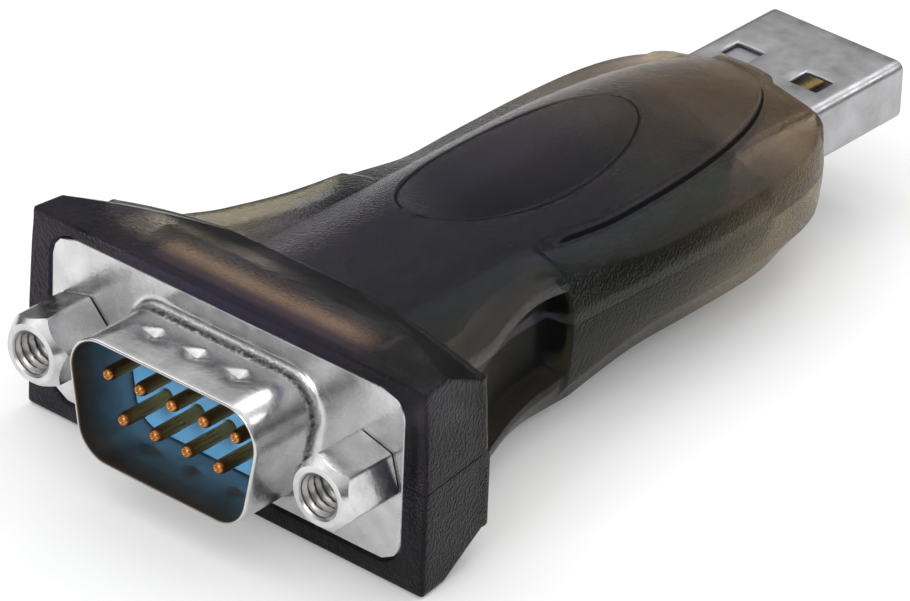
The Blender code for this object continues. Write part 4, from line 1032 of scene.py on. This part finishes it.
def smoked_plastic(name, settings):
    """Smoked polycarbonate: light passes through, dimmed and scattered by a fine leathery grain. Its tint is
    painted by place: paler beside the dish as painted sheen, greener at the sides, golden at the rims and
    warmer at the tail as painted light through the walls, darker below and in the collar as painted shade
    with a pale band of painted light over the rear shell, and near black at the creases as painted shade.
    """
    r = Recipe(name)
    place_at = r.place()
    axis = r.add("SeparateXYZ", {"Vector": place_at})
    across = r.sum(axis.outputs["X"], 0.0, "ABSOLUTE")
    tail = r.spread(axis.outputs["Y"], 0.005, 0.023)
    side = r.spread(across, 0.0075, 0.0095)
    collar = r.spread(axis.outputs["Y"], COLLAR_BACK_AT, COLLAR_BACK_AT - 0.001)
    roof = r.spread(axis.outputs["Z"], ORIGIN[2] + 0.0052, ORIGIN[2] + 0.0058)
    roof = r.sum(roof, r.spread(across, 0.0118, 0.0078), "MULTIPLY")
    low = r.spread(axis.outputs["Z"], ORIGIN[2] - 0.001, ORIGIN[2] - 0.004)
    rim = r.sum(r.spread(axis.outputs["Y"], POCKET_END_AT, POCKET_END_AT - 0.0005), side, "MULTIPLY")
    cloud = r.noise(160.0, 3.0)
    warm = r.sum(tail, r.spread(cloud, 0.3, 0.7, 0.6, 1.0), "MULTIPLY")
    # Paler beyond the dish's width: painted sheen, standing in for the brighter reflection along the pad's
    # flanks.
    beside = r.spread(across, 0.0042, 0.0062)
    colour = r.blend(beside, tuple(settings.smoke_colour), tuple(settings.flank_sheen_colour))
    # Greener at the sides: painted light seen through the side walls.
    colour = r.blend(side, colour, tuple(settings.side_glow_colour))
    # Golden at the rims beside the pockets: painted light through the thin lips.
    colour = r.blend(rim, colour, tuple(settings.rim_glow_colour))
    # Darker towards the bottom: painted shade, a dim share of the side glow colour on the lower half.
    colour = r.blend(r.sum(low, 0.8, "MULTIPLY"), colour, tuple(c * 0.4 for c in settings.side_glow_colour))
    # Warmer in patches towards the plug: painted warm light through the thin tail.
    colour = r.blend(warm, colour, tuple(settings.tail_glow_colour))
    # The collar: darker as painted shade for its thick walls, with a clear warm band over the rear shell as
    # painted light, so that the shell shows as a lit band through the roof, and painted navy shade at the
    # roof's front over the dark chamber.
    depth = r.sum(axis.outputs["Y"], ORIGIN[1], "SUBTRACT")
    lit = r.sum(r.spread(depth, 0.0012, 0.0026), r.spread(depth, 0.0056, 0.004), "MULTIPLY")
    lit = r.sum(lit, roof, "MULTIPLY")
    edge = r.sum(r.spread(depth, 0.0024, 0.001), roof, "MULTIPLY")
    thin = r.blend(lit, tuple(settings.collar_shade_colour), tuple(settings.roof_glow_colour))
    thin = r.blend(edge, thin, (0.04, 0.028, 0.1))
    colour = r.blend(collar, colour, thin)
    cell_scale = 1.0 / (settings.grain_size * MM)
    cells = r.add("TexVoronoi", {"Scale": cell_scale, "Vector": place_at, "Randomness": 1.0})
    grain = r.sum(cells.outputs["Distance"], r.noise(7000.0, 2.0), "ADD")
    colour = r.blend(r.spread(grain, 0.5, 1.1, 0.35, 0.0), colour, (0.0, 0.0, 0.0))
    normal = r.bump(grain, settings.grain_depth, 1.0)
    # Painted shade: at the creases the plastic turns near black, opaque and rough, a dark line.
    crease = r.add("Attribute", attribute_name="crease").outputs["Fac"]
    rough = r.spread(crease, 0.0, 1.0, settings.housing_roughness, 1.0)
    clear = r.spread(crease, 0.2, 0.8, settings.clearness, 0.0)
    colour = r.blend(r.spread(crease, 0.0, 0.6), colour, (0.004, 0.004, 0.005))
    r.surface(Base_Color=colour, Roughness=rough, Transmission_Weight=clear, IOR=1.23, Normal=normal)
    return r.material


def plated_metal(name, colour, roughness, wrinkles=0.0):
    """Plated or tinned metal: satin, slightly uneven, rougher where it faces inwards and painted darker
    there as shade, and crazed with fine wrinkles where a sheet was folded, with painted shade in
    patches along the fold."""
    r = Recipe(name)
    grain = 900.0  # features in a metre
    along_y = r.add("SeparateXYZ", {"Vector": r.place()}).outputs["Y"]
    # Painted shade on the inner faces: full at the mouth's lip, easing to 0.6 further in.
    depth = r.spread(along_y, MOUTH_EDGE_AT, MOUTH_EDGE_AT + 0.004)
    inside = r.add("Attribute", attribute_name="inside").outputs["Fac"]
    inside = r.sum(inside, r.spread(depth, 0.0, 1.0, 1.0, 0.6), "MULTIPLY")
    fold = r.add("Attribute", attribute_name="fold").outputs["Fac"]
    craze = r.spread(r.noise(2600.0, 4.0, 0.7), 0.42, 0.6)
    mottled = r.noise(grain * 0.4, 4.0, 0.6)
    tint = r.blend(r.spread(mottled, 0.35, 0.7), tuple(c * 0.72 for c in colour), colour)
    # Inner faces painted dark brownish as shade.
    tint = r.blend(inside, tint, (0.12 * colour[0], 0.085 * colour[1], 0.055 * colour[2]))
    # Painted shade in crazed patches along the fold, down to near black.
    shade = r.sum(fold, r.spread(craze, 0.0, 1.0, 0.97, 0.45), "MULTIPLY")
    tint = r.blend(shade, tint, tuple(c * 0.03 for c in colour))
    rough = r.spread(r.noise(grain, 3.0), 0.3, 0.7, roughness * 0.8, roughness * 1.25)
    rough = r.sum(rough, r.sum(inside, 0.25, "MULTIPLY"))
    normal = r.bump(r.noise(grain * 3, 3.0), 0.004 + wrinkles * 0.02, 0.6)
    normal = r.bump(r.sum(craze, fold, "MULTIPLY"), 0.12, 1.0, normal)
    r.surface(Base_Color=tint, Metallic=1.0, Roughness=rough, Normal=normal)
    return r.material


def moulded_plastic(name, colour, dark, roughness):
    """An opaque moulding: slightly clouded colour and a fine eroded finish."""
    r = Recipe(name)
    grain = 2500.0  # features in a metre
    tint = r.blend(r.spread(r.noise(300.0, 3.0), 0.3, 0.7), dark, colour)
    normal = r.bump(r.noise(grain, 3.0), 0.01, 0.5)
    rough = r.spread(r.noise(grain * 0.3), 0.3, 0.7, roughness * 0.85, roughness * 1.15)
    r.surface(Base_Color=tint, Roughness=rough, Normal=normal)
    return r.material


def colour_of(name, description, default):
    """A colour that a user would change."""
    return FloatVectorProperty(name=name, description=description, subtype="COLOR", size=3, min=0.0, max=1.0,
                               default=default)


class HousingSettings(bpy.types.PropertyGroup):
    smoke_colour: colour_of(
        "Smoke", "Colour that the plastic gives to light through its front", (0.09, 0.075, 0.14))
    # Painted sheen: the paler tint beside the dish stands in for reflected light there.
    flank_sheen_colour: colour_of(
        "Flank smoke", "Paler colour of the plastic beside the dish", (0.3, 0.285, 0.4))
    # Painted light: the greener tint at the sides stands in for light seen through the side walls.
    side_glow_colour: colour_of(
        "Side smoke", "Greener colour of the plastic at its sides", (0.07, 0.076, 0.052))
    # Painted shade: the dark tint of the collar's thick sides.
    collar_shade_colour: colour_of(
        "Collar smoke", "Colour that the thick sides of the collar give to light", (0.025, 0.02, 0.035))
    # Painted light: the pale warm tint of the band over the rear shell.
    roof_glow_colour: colour_of(
        "Roof smoke", "Colour that the thin roof of the collar gives to light", (0.95, 0.83, 0.74))
    # Painted light: the golden tint of the rims stands in for light through the thin lips.
    rim_glow_colour: colour_of(
        "Rim smoke", "Colour that the rims beside the finger recesses give to light", (0.32, 0.28, 0.2))
    # Painted light: the warm tint towards the plug stands in for light through the thin tail.
    tail_glow_colour: colour_of(
        "Tail smoke", "Warmer colour of the plastic towards the plug", (0.62, 0.48, 0.29))
    clearness: FloatProperty(
        name="Clearness", description="Share of the light that enters the plastic",
        subtype="FACTOR", min=0.0, max=1.0, default=1.0)
    housing_roughness: FloatProperty(
        name="Roughness", description="Roughness of the moulded finish",
        subtype="FACTOR", min=0.0, max=1.0, default=0.27)
    grain_size: FloatProperty(
        name="Grain size", description="Size of the leathery grain in millimetres",
        min=0.05, max=1.0, default=0.24)
    grain_depth: FloatProperty(
        name="Grain depth", description="Depth of the grain in millimetres", min=0.0, max=0.2, default=0.05)


class ConnectorSettings(bpy.types.PropertyGroup):
    nickel_colour: colour_of(
        "Nickel", "Colour of the plated shell and jackscrews", (0.74, 0.74, 0.74))
    insert_colour: colour_of(
        "Insert", "Colour of the moulded pin carrier", (0.2, 0.58, 1.0))
    gold_colour: colour_of(
        "Gold", "Colour of the pins and contacts", (0.55, 0.24, 0.075))
    steel_colour: colour_of(
        "Steel", "Colour of the plug's shell", (0.5, 0.5, 0.51))


class StageSettings(bpy.types.PropertyGroup):
    floor_colour: colour_of("Floor", "Colour of the floor", (0.9, 0.9, 0.9))
    key_power: FloatProperty(
        name="Key lamp", description="Power of the main lamp", subtype="POWER", min=0.0, default=0.6)
    camera_distance: FloatProperty(
        name="Camera distance", description="From the camera to what it looks at",
        subtype="DISTANCE", unit="LENGTH", min=0.1, default=0.44629)


def built(kind):
    """The settings of one kind on the scene."""
    return getattr(bpy.context.scene, f"adapter_{kind}")


FINISHES = {}


def make_once(name, maker, *details):
    """A material that several pieces share: made on its first call, found again after that."""
    if name not in FINISHES:
        FINISHES[name] = maker(name, *details)
    return FINISHES[name]


def nickel():
    """The plating of the serial shell and the jackscrews."""
    return make_once("nickel_plate", plated_metal, tuple(built("connectors").nickel_colour), 0.24, 0.6)


def gold():
    """The finish of the pins."""
    return make_once("gold_brass", plated_metal, tuple(built("connectors").gold_colour), 0.3)


def carry_over(nodes, material):
    """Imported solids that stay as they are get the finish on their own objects."""
    for node in nodes:
        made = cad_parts[node]
        made.data.materials.clear()
        made.data.materials.append(material)


class ADAPTER_OT_housing(bpy.types.Operator):
    """Builds the two smoked half shells, with their pad, thumb dish, pockets and collar"""
    bl_idname = "adapter.housing"
    bl_label = "Housing halves"

    def execute(self, context):
        plastic = make_once("smoked_plastic", smoked_plastic, built("housing"))
        finish_piece(housing_half("top_shell", 1), plastic, "smoked_plastic", "upper_housing")
        finish_piece(housing_half("bottom_shell", -1), plastic, "smoked_plastic", "lower_housing")
        return {"FINISHED"}


class ADAPTER_OT_serial_shell(bpy.types.Operator):
    """Builds the pressed front shell of the serial connector"""
    bl_idname = "adapter.serial_shell"
    bl_label = "Serial front shell"

    def execute(self, context):
        finish_piece(serial_shell_mesh(), nickel(), "nickel_plate", "serial_shell")
        return {"FINISHED"}


class ADAPTER_OT_insert(bpy.types.Operator):
    """Builds the blue moulded insert that carries the pins"""
    bl_idname = "adapter.insert"
    bl_label = "Pin carrier"

    def execute(self, context):
        colour = tuple(built("connectors").insert_colour)
        dark = tuple(c * 0.8 for c in colour)
        blue = make_once("blue_moulding", moulded_plastic, colour, dark, 0.4)
        finish_piece(insert_mesh(), blue, "blue_moulding", "serial_insert")
        return {"FINISHED"}


class ADAPTER_OT_pins(bpy.types.Operator):
    """Builds the nine turned pins"""
    bl_idname = "adapter.pins"
    bl_label = "Pins"

    def execute(self, context):
        for number, (x, z) in enumerate(pin_places(), 1):
            finish_piece(pin_mesh(number, x, z), gold(), "gold_brass", f"serial_pin_{number}")
        return {"FINISHED"}


class ADAPTER_OT_jackscrews(bpy.types.Operator):
    """Builds the two hexagonal jackscrews with their threaded bores"""
    bl_idname = "adapter.jackscrews"
    bl_label = "Jackscrews"

    def execute(self, context):
        for side, x in (("left", -JACK_X), ("right", JACK_X)):
            made = jackscrew_mesh(f"hex_jack_{side}", x)
            finish_piece(made, nickel(), "nickel_plate", f"jackscrew_{side}")
        return {"FINISHED"}


class ADAPTER_OT_rear_shell(bpy.types.Operator):
    """Finishes the passivated rear shell and nuts that show dimly through the collar"""
    bl_idname = "adapter.rear_shell"
    bl_label = "Rear shell and nuts"

    def execute(self, context):
        zinc = make_once("yellow_zinc", plated_metal, (0.88, 0.76, 0.58), 0.5)
        carry_over(("serial_rear_shell", "jackscrew_nut_left", "jackscrew_nut_right"), zinc)
        return {"FINISHED"}


class ADAPTER_OT_board(bpy.types.Operator):
    """Finishes the circuit board and everything soldered to it"""
    bl_idname = "adapter.board"
    bl_label = "Circuit board"

    def execute(self, context):
        rows = (
            ("board_laminate", moulded_plastic, ((0.05, 0.3, 0.1), (0.02, 0.17, 0.05), 0.45),
             ("circuit_board",)),
            ("chip_resin", moulded_plastic, ((0.03, 0.03, 0.033), (0.02, 0.02, 0.02), 0.5),
             ("usb_bridge_chip", "line_driver_chip")),
            ("crystal_can", plated_metal, ((0.8, 0.79, 0.75), 0.3), ("crystal",)),
            ("choke_ferrite", moulded_plastic, ((0.1, 0.1, 0.1), (0.06, 0.06, 0.06), 0.7), ("choke",)),
            ("capacitor_ceramic", moulded_plastic, ((0.45, 0.3, 0.17), (0.36, 0.22, 0.12), 0.5),
             [f"capacitor_{k}" for k in range(1, 7)]),
            ("resistor_glaze", moulded_plastic, ((0.05, 0.05, 0.06), (0.03, 0.03, 0.03), 0.4),
             [f"resistor_{k}" for k in range(1, 5)]),
        )
        for name, maker, details, nodes in rows:
            carry_over(nodes, make_once(name, maker, *details))
        return {"FINISHED"}


class ADAPTER_OT_plug(bpy.types.Operator):
    """Builds the plug: folded shell, tongue and contacts"""
    bl_idname = "adapter.plug"
    bl_label = "Plug"

    def execute(self, context):
        steel = make_once("plug_steel", plated_metal, tuple(built("connectors").steel_colour), 0.36)
        grey = make_once("grey_moulding", moulded_plastic, (0.4, 0.4, 0.42), (0.3, 0.3, 0.32), 0.5)
        finish_piece(plug_shell_mesh(), steel, "plug_steel", "usb_shell")
        contact_gold = make_once("contact_gold", plated_metal, (0.85, 0.62, 0.25), 0.3)
        tongue = bevelled_copy("plug_tongue", "usb_insert", 0.08)
        raise_nub(tongue)
        finish_piece(tongue, grey, "grey_moulding", "usb_insert")
        for k in range(1, 5):
            contact = bevelled_copy(f"plug_contact_{k}", f"usb_contact_{k}", 0.04)
            finish_piece(contact, contact_gold, "gold_brass", f"usb_contact_{k}")
        return {"FINISHED"}


def studio_floor(colour):
    """A pale matt floor with its shadow, lifted towards white where it is seen directly, mirrored or
    through the plastic."""
    r = Recipe("studio_floor")
    matt = r.add("BsdfDiffuse", {"Color": (*colour, 1.0)})
    path = r.add("LightPath")
    seen = r.sum(path.outputs["Is Camera Ray"], path.outputs["Is Glossy Ray"], "MAXIMUM")
    seen = r.sum(seen, path.outputs["Is Transmission Ray"], "MAXIMUM")
    lift = r.add("Emission", {"Color": (1.0, 1.0, 1.0, 1.0), "Strength": r.sum(seen, 0.15, "MULTIPLY")})
    both = r.add("AddShader", {0: matt.outputs[0], 1: lift.outputs[0]})
    r.links.new(both.outputs[0], r.output.inputs["Surface"])
    return r.material


def studio_world():
    """Soft light from above that fades towards the horizon."""
    world = bpy.data.worlds.new("studio")
    world.use_nodes = True
    nodes, links = world.node_tree.nodes, world.node_tree.links
    background = nodes["Background"]
    background.inputs["Color"].default_value = (1.0, 1.0, 1.0, 1.0)
    way = nodes.new("ShaderNodeTexCoord")
    split = nodes.new("ShaderNodeSeparateXYZ")
    links.new(way.outputs["Generated"], split.inputs[0])
    rise = nodes.new("ShaderNodeMapRange")
    rise.interpolation_type = "SMOOTHSTEP"
    links.new(split.outputs["Z"], rise.inputs["Value"])
    for key, value in (("From Min", 0.03), ("From Max", 0.95), ("To Min", 0.06), ("To Max", 1.05)):
        rise.inputs[key].default_value = value
    links.new(rise.outputs["Result"], background.inputs["Strength"])
    return world


def area_lamp(name, where, aim, size, power):
    """A rectangular lamp at a place, turned towards its aim."""
    lamp = bpy.data.lights.new(name, "AREA")
    lamp.shape = "RECTANGLE"
    lamp.size, lamp.size_y = size
    lamp.energy = power
    made = add_object(name, lamp)
    where, aim = Vector(where), Vector(aim)
    turn = (aim - where).to_track_quat("-Z", "Y").to_matrix().to_4x4()
    made.matrix_world = Matrix.Translation(where) @ turn


# The camera's place and lens, with its aim in connector millimetres
CAMERA_AZIMUTH = math.radians(39.713)
CAMERA_ELEVATION = math.radians(30.296)
CAMERA_ROLL = math.radians(2.420)
CAMERA_AIM = (1.302, 21.243, -1.230)
FOCAL_PIXELS = 6730.96
IMAGE_WIDTH = 910

# Name, place, aim and size in metres, and share of the key lamp's power
LAMPS = (
    ("key", (-0.3, -0.05, 0.4), (0, 0, 0.005), (0.5, 0.5), 0.7),
    ("right", (0.3, 0.4, 0.33), (0, 0, 0.005), (0.13, 0.13), 0.5),
    ("front", (0.02, -0.5, 0.16), (0, -0.02, 0.005), (0.2, 0.12), 1.6),
    ("back", (-0.06, 0.36, 0.42), (0, 0, 0.005), (0.26, 0.12), 0.6),
)


def place_camera(distance):
    """Camera on a sphere round its aim, by azimuth, elevation and roll, with the photo's lens."""
    az, el, roll = CAMERA_AZIMUTH, CAMERA_ELEVATION, CAMERA_ROLL
    back = Vector((math.sin(az) * math.cos(el), -math.cos(az) * math.cos(el), math.sin(el)))
    right = Vector((math.cos(az), math.sin(az), 0.0))
    up = back.cross(right)
    right, up = math.cos(roll) * right + math.sin(roll) * up, -math.sin(roll) * right + math.cos(roll) * up
    camera = bpy.data.cameras.new("studio_camera")
    camera.sensor_width = 36.0
    camera.lens = FOCAL_PIXELS / IMAGE_WIDTH * camera.sensor_width
    camera.clip_start = 0.05
    made = add_object("studio_camera", camera)
    turn = Matrix((right, up, back)).transposed().to_4x4()
    made.matrix_world = Matrix.Translation(Vector(place(CAMERA_AIM)) + back * distance) @ turn
    bpy.context.scene.camera = made


class ADAPTER_OT_stage(bpy.types.Operator):
    """Sets the pale floor, the soft lamps and the camera"""
    bl_idname = "adapter.stage"
    bl_label = "Studio"

    def execute(self, context):
        stage = built("stage")
        half = 0.6
        level = -0.05 * MM
        corners = [(-half, -half, level), (half, -half, level), (half, half, level), (-half, half, level)]
        mesh = bpy.data.meshes.new("floor")
        mesh.from_pydata(corners, [], [(0, 1, 2, 3)])
        floor = add_object("floor", mesh)
        mesh.materials.append(studio_floor(tuple(stage.floor_colour)))
        context.scene.world = studio_world()
        for name, where, aim, size, share in LAMPS:
            area_lamp(name, where, aim, size, stage.key_power * share)
        place_camera(stage.camera_distance)
        context.scene.view_settings.view_transform = "Standard"
        return {"FINISHED"}


OPERATORS = (ADAPTER_OT_housing, ADAPTER_OT_serial_shell, ADAPTER_OT_insert, ADAPTER_OT_pins,
             ADAPTER_OT_jackscrews, ADAPTER_OT_rear_shell, ADAPTER_OT_board, ADAPTER_OT_plug,
             ADAPTER_OT_stage)


class ADAPTER_PT_finish(bpy.types.Panel):
    """Sizes and colours of the adapter, and the operators that build it"""
    bl_idname = "ADAPTER_PT_finish"
    bl_label = "Serial adapter"
    bl_space_type = "VIEW_3D"
    bl_region_type = "UI"
    bl_category = "Adapter"

    def draw(self, context):
        for kind in ("housing", "connectors", "stage"):
            box = self.layout.box()
            settings = getattr(context.scene, f"adapter_{kind}")
            for key in settings.bl_rna.properties.keys():
                if key not in ("rna_type", "name"):
                    box.prop(settings, key)
        for operator in OPERATORS:
            self.layout.operator(operator.bl_idname)


SETTINGS = (HousingSettings, ConnectorSettings, StageSettings)


def register():
    for kind in SETTINGS + OPERATORS + (ADAPTER_PT_finish,):
        bpy.utils.register_class(kind)
    bpy.types.Scene.adapter_housing = PointerProperty(type=HousingSettings)
    bpy.types.Scene.adapter_connectors = PointerProperty(type=ConnectorSettings)
    bpy.types.Scene.adapter_stage = PointerProperty(type=StageSettings)


def unregister():
    del bpy.types.Scene.adapter_stage
    del bpy.types.Scene.adapter_connectors
    del bpy.types.Scene.adapter_housing
    for kind in reversed(SETTINGS + OPERATORS + (ADAPTER_PT_finish,)):
        bpy.utils.unregister_class(kind)


def main():
    """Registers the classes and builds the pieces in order."""
    register()
    bpy.ops.adapter.housing()
    bpy.ops.adapter.serial_shell()
    bpy.ops.adapter.insert()
    bpy.ops.adapter.pins()
    bpy.ops.adapter.jackscrews()
    bpy.ops.adapter.rear_shell()
    bpy.ops.adapter.board()
    bpy.ops.adapter.plug()
    bpy.ops.adapter.stage()


if __name__ == "__main__":
    main()
